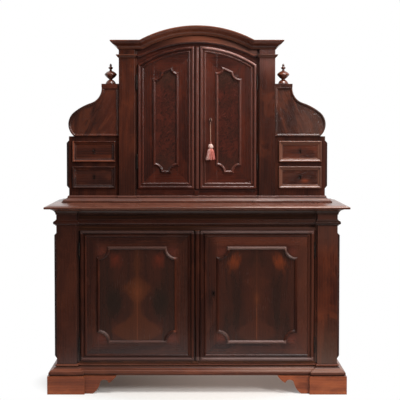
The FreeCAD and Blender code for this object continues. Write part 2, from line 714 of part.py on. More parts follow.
def key_tassel():
    """Tassel: knotted head, neck and flared skirt, flattened towards the door."""
    x, y, top = CORD_ROUTE[-1]
    tall = top - TASSEL_LOW
    profile = [(0, 0), (28, 0), (30, 3), ((22, 32), (12, 54)), (9, 58), ((17, 72), (8, 86)), (5, tall), (0, tall)]
    face = Part.Face(wire(profile, lambda r, z: V(r, 0, z)))
    round_tassel = face.revolve(V(0, 0, 0), UP, 360)
    squash = FreeCAD.Matrix()
    squash.scale(1.0, 0.72, 1.0)
    tassel = round_tassel.transformGeometry(squash)
    tassel.translate(V(x, y, TASSEL_LOW))
    return [tassel]


# ---- assembly
nodes = {}


def pair(name, right):
    nodes[name + "_right"] = right
    nodes[name + "_left"] = mirrored(right)


pair("foot_front", front_foot())
nodes["rear_feet"] = rear_foot() + mirrored(rear_foot())
nodes["base_moulding"] = around(stage_path(BASE_HALF, BASE_PILASTER, BASE_FACE), BASE, BASE_MOULD_TOP)
pair("base_side", base_side())
pair("base_pilaster", base_pilaster())
nodes["base_rails"] = base_rails()
nodes["base_shelves"] = base_shelves()
nodes["base_back"] = planks((-BASE_HALF + SIDE, BASE_HALF - SIDE), (BACK - PLANK, BACK), (FOOT_TOP, BASE_TOP), 6)
waist_path = stage_path(BASE_HALF, BASE_PILASTER, BASE_FACE)
nodes["waist_moulding"] = around(waist_path, WAIST, WAIST_TOP) + around(waist_path, COVE, BASE_TOP)
nodes["worktop"] = worktop()

nodes["plinth_moulding"] = plinth_moulding()
pair("upper_side", upper_side())
pair("upper_pilaster", upper_pilaster())
nodes["upper_bottom_rail"] = upper_bottom_rail()
nodes["arched_head"] = arched_head()
nodes["cornice"] = cornice()
nodes["upper_back"] = planks((-UPPER_HALF + SIDE, UPPER_HALF - SIDE), (BACK - PLANK, BACK), (WORKTOP, ROOF + 18), 4)
nodes["upper_shelves"] = upper_shelves()
nodes["upper_roof"] = upper_roof()
pair("wing_case", wing_case())
pair("wing_scroll", scroll_box())
pair("finial", finial())

for level, z in (("lower", (WING_SILL, DRAWER_DIVIDE[0])), ("upper", (DRAWER_DIVIDE[1], WING_HEAD))):
    pair(level + "_drawer_front", drawer_front(z))
    pair(level + "_drawer_box", drawer_box(z))

stages = {
    "lower": (lower_leaf, lower_field(), lower_ring(), BASE_FACE, LOWER_MOULD, LOWER_HINGES, LOWER_KEY,
              27.5, (BASE_SILL + 3, BASE_HEAD - 3)),
    "upper": (upper_leaf, upper_field(), upper_ring(), UPPER_FACE, UPPER_MOULD, UPPER_HINGES, UPPER_KEY,
              24.0, (UPPER_SILL + 3, DOOR_CROWN - 2)),
}
case_leaves = []
pins = []
for stage, (leaf, field, ring, face, mould, hinges, key_at, bead, bead_z) in stages.items():
    back = face + BOARD
    hole = keyhole(key_at[0], key_at[1], (face - 1, back + 1))
    mouldings = laid(ring, DOOR_FRAME, face) + laid(field, FIELD_BEAD, face)
    sets = [hinge_parts(mould, face, middle) for middle in hinges]
    door_leaves = [door for case, door, pin in sets]
    for case, door, pin in sets:
        case_leaves += [case] + mirrored([case])
        pins += [pin] + mirrored([pin])
    nodes[stage + "_door_frame_right"] = door_frame(leaf(ACTIVE_EDGE), field, face, [hole])
    nodes[stage + "_door_frame_left"] = mirrored(door_frame(leaf(PASSIVE_EDGE), field, face, []))
    pair(stage + "_door_panel", door_panel(field, face))
    nodes[stage + "_door_moulding_right"] = mouldings + [meeting_bead(bead, bead_z, face)]
    nodes[stage + "_door_moulding_left"] = mirrored(mouldings)
    nodes[stage + "_door_metal_right"] = door_leaves + [lock_case(key_at, back)]
    nodes[stage + "_door_metal_left"] = mirrored(door_leaves + [keeper(key_at, back)])
nodes["lower_door_metal_right"].append(lock_bolt(LOWER_KEY, BASE_FACE + BOARD))
nodes["lock_bolt"] = [lock_bolt(UPPER_KEY, UPPER_FACE + BOARD)]
nodes["case_hinges"] = case_leaves
nodes["hinge_pins"] = pins
nodes["key"] = key()
nodes["key_cord"] = key_cord()
nodes["key_tassel"] = key_tassel()

os.makedirs("parts", exist_ok=True)
for name, solids in nodes.items():
    for number, solid in enumerate(solids):
        if not solid.isValid() or len(solid.Solids) != 1 or solid.Volume < 1:
            print("check", name, number, solid.isValid(), len(solid.Solids), round(solid.Volume, 1))
    Part.makeCompound(solids).exportStep("parts/" + name + ".step")
print(len(nodes), "nodes,", sum(len(solids) for solids in nodes.values()), "solids")
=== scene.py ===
# %% [markdown]
# # A baroque cupboard with a set-back upper stage
#
# The solids of the cupboard come ready from the imported model, each in its own place. What is left to do here is
# what makes old walnut look like old walnut: the run of the grain on every board, the veneer pictures in the doors,
# wax and wear, light and shade painted into the colour of many mouldings, and the soft things on the key. Every
# step below first says what the piece is on the real object.

# %% The imported model
import bmesh
import bpy
import math
import random
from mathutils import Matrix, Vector


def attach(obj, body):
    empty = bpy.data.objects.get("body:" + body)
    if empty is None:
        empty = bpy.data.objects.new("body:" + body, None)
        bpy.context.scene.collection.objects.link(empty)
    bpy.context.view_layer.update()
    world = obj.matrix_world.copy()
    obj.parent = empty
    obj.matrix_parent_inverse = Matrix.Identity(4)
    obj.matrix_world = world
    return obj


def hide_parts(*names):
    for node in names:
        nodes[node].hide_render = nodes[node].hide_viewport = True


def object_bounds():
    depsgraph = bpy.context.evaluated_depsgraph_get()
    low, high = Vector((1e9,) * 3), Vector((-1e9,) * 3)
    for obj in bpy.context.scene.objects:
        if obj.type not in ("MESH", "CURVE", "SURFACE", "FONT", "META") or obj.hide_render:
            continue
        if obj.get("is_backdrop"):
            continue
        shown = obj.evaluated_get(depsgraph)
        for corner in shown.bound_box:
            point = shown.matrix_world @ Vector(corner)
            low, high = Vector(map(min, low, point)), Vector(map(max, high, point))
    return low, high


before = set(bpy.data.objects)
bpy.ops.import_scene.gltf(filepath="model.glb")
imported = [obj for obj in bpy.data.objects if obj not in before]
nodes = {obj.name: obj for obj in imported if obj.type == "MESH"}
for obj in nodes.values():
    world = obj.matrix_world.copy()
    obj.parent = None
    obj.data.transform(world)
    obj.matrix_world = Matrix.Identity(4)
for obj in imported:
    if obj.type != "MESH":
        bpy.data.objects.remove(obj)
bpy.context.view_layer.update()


def plain_box():
    low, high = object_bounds()
    return [[round(float(value), 6) for value in low], [round(float(value), 6) for value in high]]


# %% [markdown]
# ## Camera
# Furniture is best shown square on through a long lens, with the camera a little below the top of the piece. A
# lens shift keeps the uprights parallel. The alternative, tilting the camera, would make them lean.

# %% Camera
camera = bpy.data.objects.new("camera", bpy.data.cameras.new("camera"))
bpy.context.scene.collection.objects.link(camera)
camera.location = (0.0, -5.29, 1.457)
camera.rotation_euler = (math.radians(88.0), 0.0, 0.0)
camera.data.lens = 82.4
camera.data.sensor_width = 36.0
camera.data.shift_x = 0.0075
camera.data.shift_y = -0.0931
bpy.context.scene.camera = camera
print("camera at", tuple(camera.location))

# %% [markdown]
# ## The key's cord
# A short silk cord falls from the key to its tassel, nearly straight under the tassel's weight, and its last
# 14 mm run on into the tassel's head, where it is tied. It is laid up from three plies. The route is one
# smooth NURBS spline, whose order is set after its points, because a spline with too few points falls back to
# straight runs. The plies wind about the points that Blender reads from that spline, which keeps them true to it; a
# striped texture on a plain tube would stay smooth in outline.

# %% Cord route
KEY_X, KEY_Y = 0.078, -0.027
TASSEL_X = 0.0786
CORD_ROUTE = [(KEY_X, KEY_Y, 1.513), (0.077, KEY_Y, 1.447), (TASSEL_X, KEY_Y, 1.3692)]
CORD_ACROSS = 0.0044
PLY_ACROSS = 0.0023
PLY_OUT = (CORD_ACROSS - PLY_ACROSS) / 2
PLIES = 3
FALL_TURNS = 16


def add_object(name, data):
    made = bpy.data.objects.new(name, data)
    bpy.context.scene.collection.objects.link(made)
    return made


def line_points(points):
    """The points of the smooth line that a NURBS route gives."""
    curve = bpy.data.curves.new("route", "CURVE")
    curve.dimensions = "3D"
    spline = curve.splines.new("NURBS")
    spline.points.add(len(points) - 1)
    for point, place in zip(spline.points, points):
        point.co = (*place, 1.0)
    spline.order_u = 3
    spline.use_endpoint_u = True
    spline.resolution_u = 40
    carrier = add_object("route", curve)
    bpy.context.view_layer.update()
    line = bpy.data.meshes.new_from_object(carrier)
    places = [vertex.co.copy() for vertex in line.vertices]
    bpy.data.objects.remove(carrier)
    bpy.data.meshes.remove(line)
    bpy.data.curves.remove(curve)
    return places


def tubes(name, lines, across, closed=False):
    """Round threads along lines of points, made one mesh."""
    curve = bpy.data.curves.new(name, "CURVE")
    curve.dimensions = "3D"
    curve.bevel_depth = across / 2
    curve.bevel_resolution = 1
    curve.use_fill_caps = not closed
    for places in lines:
        spline = curve.splines.new("POLY")
        spline.points.add(len(places) - 1)
        for point, place in zip(spline.points, places):
            point.co = (*place, 1.0)
        spline.use_cyclic_u = closed
        spline.use_smooth = True
    carrier = add_object(name + "_line", curve)
    bpy.context.view_layer.update()
    mesh = bpy.data.meshes.new_from_object(carrier)
    bpy.data.objects.remove(carrier)
    bpy.data.curves.remove(curve)
    mesh.name = name
    mesh.shade_smooth()
    return add_object(name, mesh)


def plies(places, turns, total, sides):
    """Lines that wind about a line of points; sides gives two directions across it at each point."""
    lines = []
    for ply in range(PLIES):
        line = []
        for index, (place, (side, front)) in enumerate(zip(places, sides)):
            angle = 2 * math.pi * (turns * index / total + ply / PLIES)
            line.append(place + side * math.cos(angle) * PLY_OUT + front * math.sin(angle) * PLY_OUT)
        lines.append(line)
    return lines


def sides_of_fall(places):
    """Two directions across an open line at each of its points."""
    last = len(places) - 1
    sides = []
    for index in range(len(places)):
        way = (places[min(index + 1, last)] - places[max(index - 1, 0)]).normalized()
        side = way.cross(Vector((0, 1, 0))).normalized()
        sides.append((side, side.cross(way)))
    return sides


cord_line = line_points(CORD_ROUTE)
cord_length = sum((b - a).length for a, b in zip(cord_line, cord_line[1:]))
fall_plies = plies(cord_line, FALL_TURNS, len(cord_line) - 1, sides_of_fall(cord_line))
key_silk = tubes("key_cord_plies", fall_plies, PLY_ACROSS)
print("cord of", len(cord_line), "points,", round(cord_length, 4), "m")

# %% [markdown]
# ## Loop and knot
# The cord goes round the neck of the key and is tied to itself. The loop is the same three plies, wound a whole
# number of times about a circle so that they close. The knot is three short turns about the fall.

# %% Loop and knot
LOOP_CENTRE = Vector((KEY_X, KEY_Y, 1.5206))
LOOP_OUT = 0.0058
LOOP_TURNS = 4
KNOT_ACROSS = 0.0028


def circle_points(centre, out, count, axis="Y", squeeze=1.0):
    """Points of a circle that stands across the key (axis Y) or lies level (axis Z)."""
    places = []
    for index in range(count):
        angle = 2 * math.pi * index / count
        first, second = math.cos(angle) * out, math.sin(angle) * out * squeeze
        places.append(centre + (Vector((first, 0, second)) if axis == "Y" else Vector((first, second, 0))))
    return places


def level_rings(x, count, squeeze, rings):
    """Level rings about the fall of the cord, each given by its height and radius."""
    return [circle_points(Vector((x, KEY_Y, height)), out, count, "Z", squeeze) for height, out in rings]


ring = circle_points(LOOP_CENTRE, LOOP_OUT, 72)
ring_sides = [((place - LOOP_CENTRE).normalized(), Vector((0, 1, 0))) for place in ring]
key_loop = tubes("key_cord_loop", plies(ring, LOOP_TURNS, len(ring), ring_sides), PLY_ACROSS, True)
knot_rings = level_rings(KEY_X, 28, 0.9, ((1.5142, 0.0023), (1.5114, 0.0026), (1.5088, 0.0022)))
key_knot = tubes("key_cord_knot", knot_rings, KNOT_ACROSS, True)
print("loop and knot", len(key_loop.data.vertices), len(key_knot.data.vertices), "vertices")

# %% [markdown]
# ## The tassel
# A tassel is a bundle of threads folded over the cord's end and bound below the fold: the fold is the round head, the
# binding is its neck, and the rest hangs as the skirt. The head is a turned profile whose ring points are then drawn
# in and out, so that the outline shows the bundled threads. The skirt is real threads in three layers, each a thin
# tube from the binding to the hem, with its own small wander. They are few enough to stay light and thick enough to
# hide the gaps between them.

# %% Tassel head and bindings
TASSEL_AT = Vector((TASSEL_X, KEY_Y, 0.0))
TASSEL_FLAT = 0.74
LOBES = 16
LOBE_DEPTH = 0.035
WOUND_ACROSS = 0.0027
BINDING_ACROSS = 0.0029


def spun(name, profile, at, flat, steps):
    """A turned shape from a profile of (radius, height), spun with bmesh and closed at its poles."""
    shape = bmesh.new()
    corners = [shape.verts.new((radius, 0, height)) for radius, height in profile]
    edges = [shape.edges.new(ends) for ends in zip(corners, corners[1:])]
    bmesh.ops.spin(shape, geom=corners + edges, cent=(0, 0, 0), axis=(0, 0, 1), angle=2 * math.pi, steps=steps,
                   use_merge=True)
    bmesh.ops.remove_doubles(shape, verts=shape.verts, dist=1e-6)
    bmesh.ops.recalc_face_normals(shape, faces=shape.faces)
    bmesh.ops.scale(shape, vec=(1, flat, 1), verts=shape.verts)
    bmesh.ops.translate(shape, vec=at, verts=shape.verts)
    mesh = bpy.data.meshes.new(name)
    shape.to_mesh(mesh)
    shape.free()
    mesh.shade_smooth()
    return add_object(name, mesh)


HEAD = [(0.0, 1.3834), (0.0042, 1.3830), (0.0074, 1.3800), (0.0106, 1.3758), (0.0128, 1.3708), (0.0136, 1.3658),
        (0.0132, 1.3616), (0.0118, 1.3582), (0.0102, 1.3556), (0.0094, 1.3540), (0.0, 1.3536)]
tassel_head = spun("tassel_head", HEAD, TASSEL_AT, TASSEL_FLAT, 96)
for vertex in tassel_head.data.vertices:
    spoke = vertex.co - TASSEL_AT
    angle = math.atan2(spoke.y / TASSEL_FLAT, spoke.x)
    below_crown = min(1.0, max(0.0, (1.381 - vertex.co.z) / 0.01))
    pull = 1.0 + LOBE_DEPTH * math.cos(LOBES * angle) * below_crown
    vertex.co.x = TASSEL_AT.x + spoke.x * pull
    vertex.co.y = TASSEL_AT.y + spoke.y * pull

throat = level_rings(TASSEL_X, 32, 0.85, (
    (1.3990, 0.0022), (1.3964, 0.0029), (1.3938, 0.0036), (1.3912, 0.0043), (1.3886, 0.0050), (1.3860, 0.0055),
    (1.3834, 0.0056)))
tassel_throat = tubes("tassel_throat", throat, WOUND_ACROSS, True)
binding = level_rings(TASSEL_X, 40, TASSEL_FLAT, ((1.3566, 0.0102), (1.3543, 0.0100), (1.3520, 0.0106)))
tassel_binding = tubes("tassel_binding", binding, BINDING_ACROSS, True)
print("tassel head", len(tassel_head.data.vertices), "vertices")

# %% Tassel skirt
chance = random.Random(11)
SKIRT_TOP, SKIRT_LOW = 1.3535, 1.2882
TOP_OUT, HEM_OUT = 0.0104, 0.0268
SKIRT_STEPS = 8
SKIRT_LAYERS = ((62, 1.0), (44, 0.80), (26, 0.55))
THREAD_ACROSS = 0.0027


def skirt_line(angle, share):
    """One thread of the skirt, from the binding to the hem; share is 1 in the outer layer."""
    top = TOP_OUT * share
    hem = HEM_OUT * share * chance.uniform(0.93, 1.0)
    low = SKIRT_LOW + chance.uniform(0.0, 0.0055)
    turn = angle + chance.uniform(-0.05, 0.05)
    line = []
    for step in range(SKIRT_STEPS + 1):
        part = step / SKIRT_STEPS
        out = top + (hem - top) * (part ** 0.54) + 0.0006 * math.sin(3.1 * part + angle * 5)
        at = angle + (turn - angle) * part + 0.02 * math.sin(6 * part + angle * 9)
        line.append(Vector((TASSEL_AT.x + out * math.cos(at), TASSEL_AT.y + out * TASSEL_FLAT * math.sin(at),
                            SKIRT_TOP + (low - SKIRT_TOP) * part)))
    return line


skirt = []
for count, share in SKIRT_LAYERS:
    skirt += [skirt_line(2 * math.pi * (number + 0.5 * chance.random()) / count, share) for number in range(count)]
tassel_skirt = tubes("tassel_skirt", skirt, THREAD_ACROSS)
print("tassel skirt of", len(skirt), "threads,", len(tassel_skirt.data.polygons), "faces")

# %% [markdown]
# ## Shader arithmetic
# A wood finish is mostly arithmetic on the place of a point: how far it is across the board, how far along. Written
# as nodes that is hard to read, so a small class lets the sockets take part in Python's own sums. A second small
# class builds a material: one of its methods makes any other node, and the rest are short names for common ones.

# %% Sockets that can be added and multiplied
def tone(red, green, blue):
    """A colour given in the usual 0 to 255 numbers, as the linear colour that a shader takes."""
    parts = [value / 255.0 for value in (red, green, blue)]
    return (*[part / 12.92 if part <= 0.04045 else ((part + 0.055) / 1.055) ** 2.4 for part in parts], 1.0)


class Tone:
    """One output of a shader node, which takes part in Python's own arithmetic."""

    def __init__(self, finish, socket):
        self.finish = finish
        self.socket = socket

    def maths(self, operation, *others):
        return self.finish.node("ShaderNodeMath", {"operation": operation}, dict(enumerate(others)))

    def __add__(self, other):
        return self.maths("ADD", self, other)

    def __radd__(self, other):
        return self.maths("ADD", other, self)

    def __sub__(self, other):
        return self.maths("SUBTRACT", self, other)

    def __rsub__(self, other):
        return self.maths("SUBTRACT", other, self)

    def __mul__(self, other):
        return self.maths("MULTIPLY", self, other)

    def __rmul__(self, other):
        return self.maths("MULTIPLY", other, self)

    def __truediv__(self, other):
        return self.maths("DIVIDE", self, other)

    def __pow__(self, other):
        return self.maths("POWER", self, other)

    def __neg__(self):
        return self.maths("MULTIPLY", self, -1.0)

    def __abs__(self):
        return self.maths("ABSOLUTE", self)

    def __gt__(self, other):
        return self.maths("GREATER_THAN", self, other)

    def __lt__(self, other):
        return self.maths("LESS_THAN", self, other)

    def sine(self):
        return self.maths("SINE", self)

    def clipped(self):
        """Held between 0 and 1."""
        held = self.maths("ADD", self, 0.0)
        held.socket.node.use_clamp = True
        return held

    def hump(self, centre, width):
        """1 at the centre, falling off smoothly on both sides."""
        away = (self - centre) / width
        return self.maths("EXPONENT", -(away * away))

    def ramp(self, low, high):
        """0 below low, 1 above high, and smooth between them."""
        settings = {"interpolation_type": "SMOOTHSTEP"}
        return self.finish.node("ShaderNodeMapRange", settings, {"Value": self, "From Min": low, "From Max": high})


# %% A material built node by node
class Finish:
    """A material, or the world, that is built up node by node."""

    def __init__(self, name, tree=None):
        self.material = None
        if tree is None:
            self.material = bpy.data.materials.new(name)
            self.material.use_nodes = True
            tree = self.material.node_tree
        self.tree = tree
        self.tree.nodes.clear()

    def node(self, kind, settings=None, inputs=None, output=0):
        made = self.tree.nodes.new(kind)
        for key, value in (settings or {}).items():
            setattr(made, key, value)
        for key, value in (inputs or {}).items():
            if isinstance(value, Tone):
                self.tree.links.new(value.socket, made.inputs[key])
            else:
                made.inputs[key].default_value = value
        return Tone(self, made.outputs[output]) if len(made.outputs) else None

    def vector(self, x, y, z):
        return self.node("ShaderNodeCombineXYZ", None, {"X": x, "Y": y, "Z": z})

    def parts(self, vector):
        split = self.node("ShaderNodeSeparateXYZ", None, {"Vector": vector})
        return [Tone(self, split.socket.node.outputs[index]) for index in range(3)]

    def place(self):
        """x, y and z of the surface, in the object's own metres."""
        return self.parts(self.node("ShaderNodeTexCoord", output="Object"))

    def noise(self, where, scale, detail, rough=0.55, twist=0.0):
        """A noise at a place, which is a vector or its three parts."""
        where = where if isinstance(where, Tone) else self.vector(*where)
        values = {"Vector": where, "Scale": scale, "Detail": detail, "Roughness": rough, "Distortion": twist}
        return self.node("ShaderNodeTexNoise", {"normalize": True}, values)

    def blend(self, share, *colours):
        """Two colours mixed by a share from 0 to 1, each a socket or the usual three numbers."""
        first, second = [tone(*colour) if isinstance(colour, tuple) else colour for colour in colours]
        return self.node("ShaderNodeMix", {"data_type": "RGBA"}, {0: share, 6: first, 7: second}, 2)

    def over(self, colour, layers):
        """A colour with others laid over it one by one, each with its share."""
        for share, tint in layers:
            colour = self.blend(share, colour, tint)
        return colour

    def rays(self):
        """Whether a ray comes straight from the camera, off something glossy or through glass."""
        path = self.node("ShaderNodeLightPath").socket.node
        return [Tone(self, path.outputs[name]) for name in ("Is Camera Ray", "Is Glossy Ray", "Is Transmission Ray")]

    def relief(self, strength, distance, height, normal=None):
        """A normal that follows a fine height, over the softened normal where there is one."""
        values = {"Strength": strength, "Distance": distance, "Height": height}
        if normal is not None:
            values["Normal"] = normal
        return self.node("ShaderNodeBump", None, values)

    def surface(self, colour, rough, relief, others):
        """Ends the material in one principled surface, and gives the material."""
        values = {"Base Color": colour, "Roughness": rough.clipped(), "Normal": relief, **others}
        shader = self.node("ShaderNodeBsdfPrincipled", None, values)
        self.node("ShaderNodeOutputMaterial", None, {"Surface": shader})
        return self.material


print("shader arithmetic ready")

# %% [markdown]
# ## Floor and light
# The floor is a plain pale sheet that keeps the shadow. Close to the cupboard it is a real surface, with a faint warm
# glow painted into its shadow for the camera, stronger on the right; further off it turns to the white of the
# backdrop for the camera, as an overlit sweep does, so no light is added on the wood.
# The lamps are large and soft and stand high in front, which puts a thin highlight on the top of each moulding and
# leaves the flat panels deep.

# %% Floor
def sweep_finish():
    finish = Finish("pale_sweep")
    x, y, _ = finish.place()
    near = finish.node("ShaderNodeBsdfDiffuse", None, {"Color": tone(236, 234, 230)})
    direct, glossy, through = finish.rays()
    away = (x * x * 0.62 + y * y * 1.9) ** 0.5
    # Painted light: for the camera, a faint warm glow lifts the floor's shadow near the cupboard, stronger on the
    # right.
    painted_shadow_lift = direct * (x.ramp(-0.65, 0.25) * 0.14 + 0.05)
    share = (away.ramp(0.50, 0.80) * (direct + glossy + through).clipped() + painted_shadow_lift).clipped()
    backdrop_and_painted_glow = finish.blend(away.ramp(0.45, 0.60), (250, 226, 214), (255, 255, 255))
    bright = finish.node("ShaderNodeEmission", None, {"Color": backdrop_and_painted_glow, "Strength": 1.0})
    mixed = finish.node("ShaderNodeMixShader", None, {0: share, 1: near, 2: bright})
    finish.node("ShaderNodeOutputMaterial", None, {"Surface": mixed})
    return finish.material


sweep = bmesh.new()
bmesh.ops.create_circle(sweep, cap_ends=True, segments=96, radius=1.20)
sweep_mesh = bpy.data.meshes.new("floor")
sweep.to_mesh(sweep_mesh)
sweep.free()
floor = add_object("floor", sweep_mesh)
floor.data.materials.append(sweep_finish())
floor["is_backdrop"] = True
print("floor", tuple(round(side, 1) for side in floor.dimensions))


# %% Lamps and room
def lamp(name, place, target, size, power):
    light = bpy.data.lights.new(name, "AREA")
    light.shape = "RECTANGLE"
    light.size, light.size_y = size
    light.energy = power
    made = add_object(name, light)
    made.location = place
    made.rotation_euler = (Vector(target) - Vector(place)).to_track_quat("-Z", "Y").to_euler()


lamp("overhead_lamp", (1.0, -1.35, 4.6), (0.1, -0.2, 0.9), (1.9, 1.5), 160.0)
lamp("right_key", (3.0, -3.2, 2.9), (0.1, 0.0, 1.0), (1.2, 1.6), 120.0)
lamp("left_fill", (-3.4, -3.0, 2.4), (0.0, 0.0, 1.0), (1.0, 1.8), 16.0)

world = bpy.data.worlds.new("studio")
bpy.context.scene.world = world
world.use_nodes = True
studio = Finish("studio", world.node_tree)
_, behind, upward = studio.parts(studio.node("ShaderNodeTexCoord"))
room_level = 0.07 + upward.ramp(0.05, 0.9) * 0.30 + behind.ramp(-0.2, 0.6) * 0.55
room = studio.node("ShaderNodeBackground", None, {"Color": (1.0, 0.985, 0.965, 1), "Strength": room_level})
white = studio.node("ShaderNodeBackground", None, {"Color": (1, 1, 1, 1), "Strength": 1.0})
direct, glossy, through = studio.rays()
backdrop = (direct + (glossy + through) * behind.ramp(0.0, 0.3)).clipped()
studio.node("ShaderNodeOutputWorld", None,
            {"Surface": studio.node("ShaderNodeMixShader", None, {0: backdrop, 1: room, 2: white})})
bpy.context.scene.view_settings.view_transform = "Standard"
print("three lamps and a pale room")

# %% [markdown]
# ## Which way the grain runs
# A joiner lets the grain follow the length of each piece: up a stile, across a rail, along a moulding, and round a
# mitred frame it turns at each mitre. The whole frame is one solid here, so the finish has to tell the lengths
# apart. On a mitred frame a point belongs to a level length when it is further past the corner upwards than it is
# sideways. Each function gives a point's distance across, through and along its own length of wood.

# %% Grain directions
def upright(finish):
    x, y, z = finish.place()
    return x + (x > 0.0) * 3.7, y, z, None


def slanting(finish):
    """Grain that leans outward as it goes down, as on a board sawn beside a fork."""
    x, y, z = finish.place()
    return abs(x) * 1.84 + z * 0.78 + (x > 0.0) * 3.7, y, z * 0.92 - abs(x) * 0.39, None


def level(finish):
    x, y, z = finish.place()
    return z + 1.3, y, x, None


def deepwise(finish):
    x, y, z = finish.place()
    return z + 2.9, x, y, None


def mitred(centre_x, centre_z, half_x, half_z):
    """The mitred frame about a door's middle, the same on both doors of a pair.

    The grain is upright where past is below 0 and level where it is above; the last value is a hair line along the
    mitre.
    """
    def run(finish):
        x, y, z = finish.place()
        past = (abs(z - centre_z) - half_z) - (abs(abs(x) - centre_x) - half_x)
        flat = past > 0.0
        up = 1.0 - flat
        across = x * up + (z + 5.1) * flat + (x > 0.0) * 2.3
        return across, y, z * up + x * flat, 1.0 - abs(past).ramp(0.0003, 0.0012)
    return run


def round_case(half, face):
    """A moulding round three sides of a case: level in front and deepwise at the sides.

    half is half the width of the case, and face is where its front stands.
    """
    def run(finish):
        x, y, z = finish.place()
        side = ((abs(x) - half) - (face - y)) > 0.0
        front = 1.0 - side
        across = z + side * 4.2
        depth = y * front + x * side
        return across, depth, x * front + y * side, None
    return run


print("grain directions ready")

# %% [markdown]
# ## Walnut
# Old waxed walnut shows four things at once. Slow bands of dark and light wander along the board. Between them are
# the yearly rings, a few millimetres apart. Fine streaks and open pores lie along the grain. Over it all lie two
# hundred years: wax that has gone black in the corners, and edges that hands have rubbed pale, which are painted
# paler still as a highlight. The bands, rings, streaks and pores are noises drawn out along the grain. The corners
# come from ambient occlusion and the edges from the Bevel node, which compares the softened normal with the flat
# one; painted masks would have to be redrawn for every piece.

# %% Walnut finish
DARK_WAX = (17, 9, 7)
PORE = (24, 11, 8)
# Dark, middle and light wood, and wood that is rubbed bare, whose pale tone also serves as a painted highlight on
# edges.
PALETTES = {
    "deep": ((35, 15, 11), (62, 28, 18), (86, 42, 26), (122, 78, 62)),
    "red": ((40, 13, 7), (69, 27, 15), (98, 39, 21), (128, 82, 66)),
    "warm": ((46, 18, 11), (80, 35, 20), (112, 52, 28), (140, 90, 68)),
    "crown": ((74, 34, 22), (112, 58, 38), (138, 76, 50), (166, 112, 90)),
    "foot": ((88, 38, 20), (138, 68, 38), (170, 94, 54), (190, 130, 94)),
    "sill": ((48, 22, 12), (84, 44, 24), (116, 66, 36), (140, 92, 66)),
    "top": ((70, 35, 25), (108, 60, 44), (136, 84, 64), (178, 130, 110)),
}


def wood_marks(finish, across, depth, along, seed):
    """Bands, rings, streaks and pores, each from 0 to 1."""
    drift = finish.noise((across * 2.6 + seed, depth * 2.6, along * 0.8), 1.0, 2.0)
    bent = (across * 15.0 + drift * 3.0, depth * 15.0 + seed, along * 1.2)
    bands = finish.noise(bent, 1.0, 4.0, 0.5, 0.5)
    rings = ((across + depth * 0.6 + drift * 0.05) * 430.0 + bands * 9.0).sine() * 0.5 + 0.5
    streaks = finish.noise((across * 190.0, depth * 190.0, along * 5.0 + seed), 1.0, 5.0, 0.62)
    pores = finish.noise((across * 1300.0, depth * 1300.0, along * 62.0), 1.0, 2.0, 0.5).ramp(0.60, 0.70)
    return bands, rings, streaks, pores


def edge_and_corner(finish, reach=0.0018):
    """How far a point is on an edge, how far in a corner, and the softened normal."""
    soft = finish.node("ShaderNodeBevel", {"samples": 6}, {"Radius": reach})
    true = finish.node("ShaderNodeNewGeometry", output="Normal")
    alike = finish.node("ShaderNodeVectorMath", {"operation": "DOT_PRODUCT"}, {0: soft, 1: true}, 1)
    open_air = finish.node("ShaderNodeAmbientOcclusion", {"samples": 6}, {"Distance": 0.016}, 1)
    return (1.0 - alike).ramp(0.004, 0.14), (1.0 - open_air).ramp(0.30, 0.95), soft


def waxed(finish, colour, streaks, pores, worn_and_highlight, gloss=0.0, shine=0.5, coat=0.12):
    """Wear with a painted highlight on the edges, wax, roughness and relief over a wood colour, as a finished
    material.
    """
    edge, corner, soft = edge_and_corner(finish)
    patches = finish.noise(finish.place(), 7.0, 3.0, 0.6)
    # Paler edges: real wear, and also a painted highlight on every edge.
    rub_and_highlight = edge * (patches * 1.5 - 0.25).clipped()
    colour = finish.blend(rub_and_highlight * 0.62, colour, worn_and_highlight)
    colour = finish.blend(corner * 0.85, colour, DARK_WAX)
    rough = (0.20 - gloss) + streaks * 0.08 + patches * 0.08 + corner * 0.25 - rub_and_highlight * 0.04
    height = streaks * 0.35 + patches * 0.5 - pores * 0.8
    return finish.surface(colour, rough, finish.relief(0.35, 0.0006, height, soft), {
        "Specular IOR Level": shine, "Coat Weight": coat, "Coat Roughness": 0.20})


def walnut(name, run, palette, seed, lift, gloss=0.0, shine=0.5, wide_bands=0.0, mottle=0.3, figure=0.42,
           coat=0.12, shade=None):
    """Solid walnut whose grain follows run.

    lift makes it lighter, gloss makes it smoother, wide_bands adds broad boards of tone, mottle adds stained patches,
    figure is the strength of the fine streaks, and shade is a function of the place that gives further colours, each
    with its share.
    """
    finish = Finish(name)
    dark, middle, light, worn_and_highlight = PALETTES[palette]
    across, depth, along, mitre = run(finish)
    bands, rings, streaks, pores = wood_marks(finish, across, depth, along, seed)
    colour = finish.blend((bands.ramp(0.34, 0.66) + lift).clipped(), dark, middle)
    if wide_bands:
        boards = finish.noise((across * 9.0 + seed, depth * 2.0, along * 0.5), 1.0, 1.0)
        colour = finish.blend(boards.ramp(0.42, 0.62) * wide_bands, colour, light)
    stain = finish.noise((across * 1.6 + seed, depth, along), 6.5, 3.0, 0.6, 0.8)
    colour = finish.over(colour, [
        (stain.ramp(0.50, 0.64) * mottle, light),
        (stain.ramp(0.48, 0.36) * mottle, dark),
        *(shade(*finish.place()) if shade else ()),
        (rings * bands * figure * 0.9, light),
        (streaks.ramp(0.48, 0.78) * figure, dark),
        (pores * 0.5, PORE)])
    if mitre is not None:
        colour = finish.blend(mitre * 0.75, colour, DARK_WAX)
    return waxed(finish, colour, streaks, pores, worn_and_highlight, gloss, shine, coat)


print(len(PALETTES), "walnut palettes")

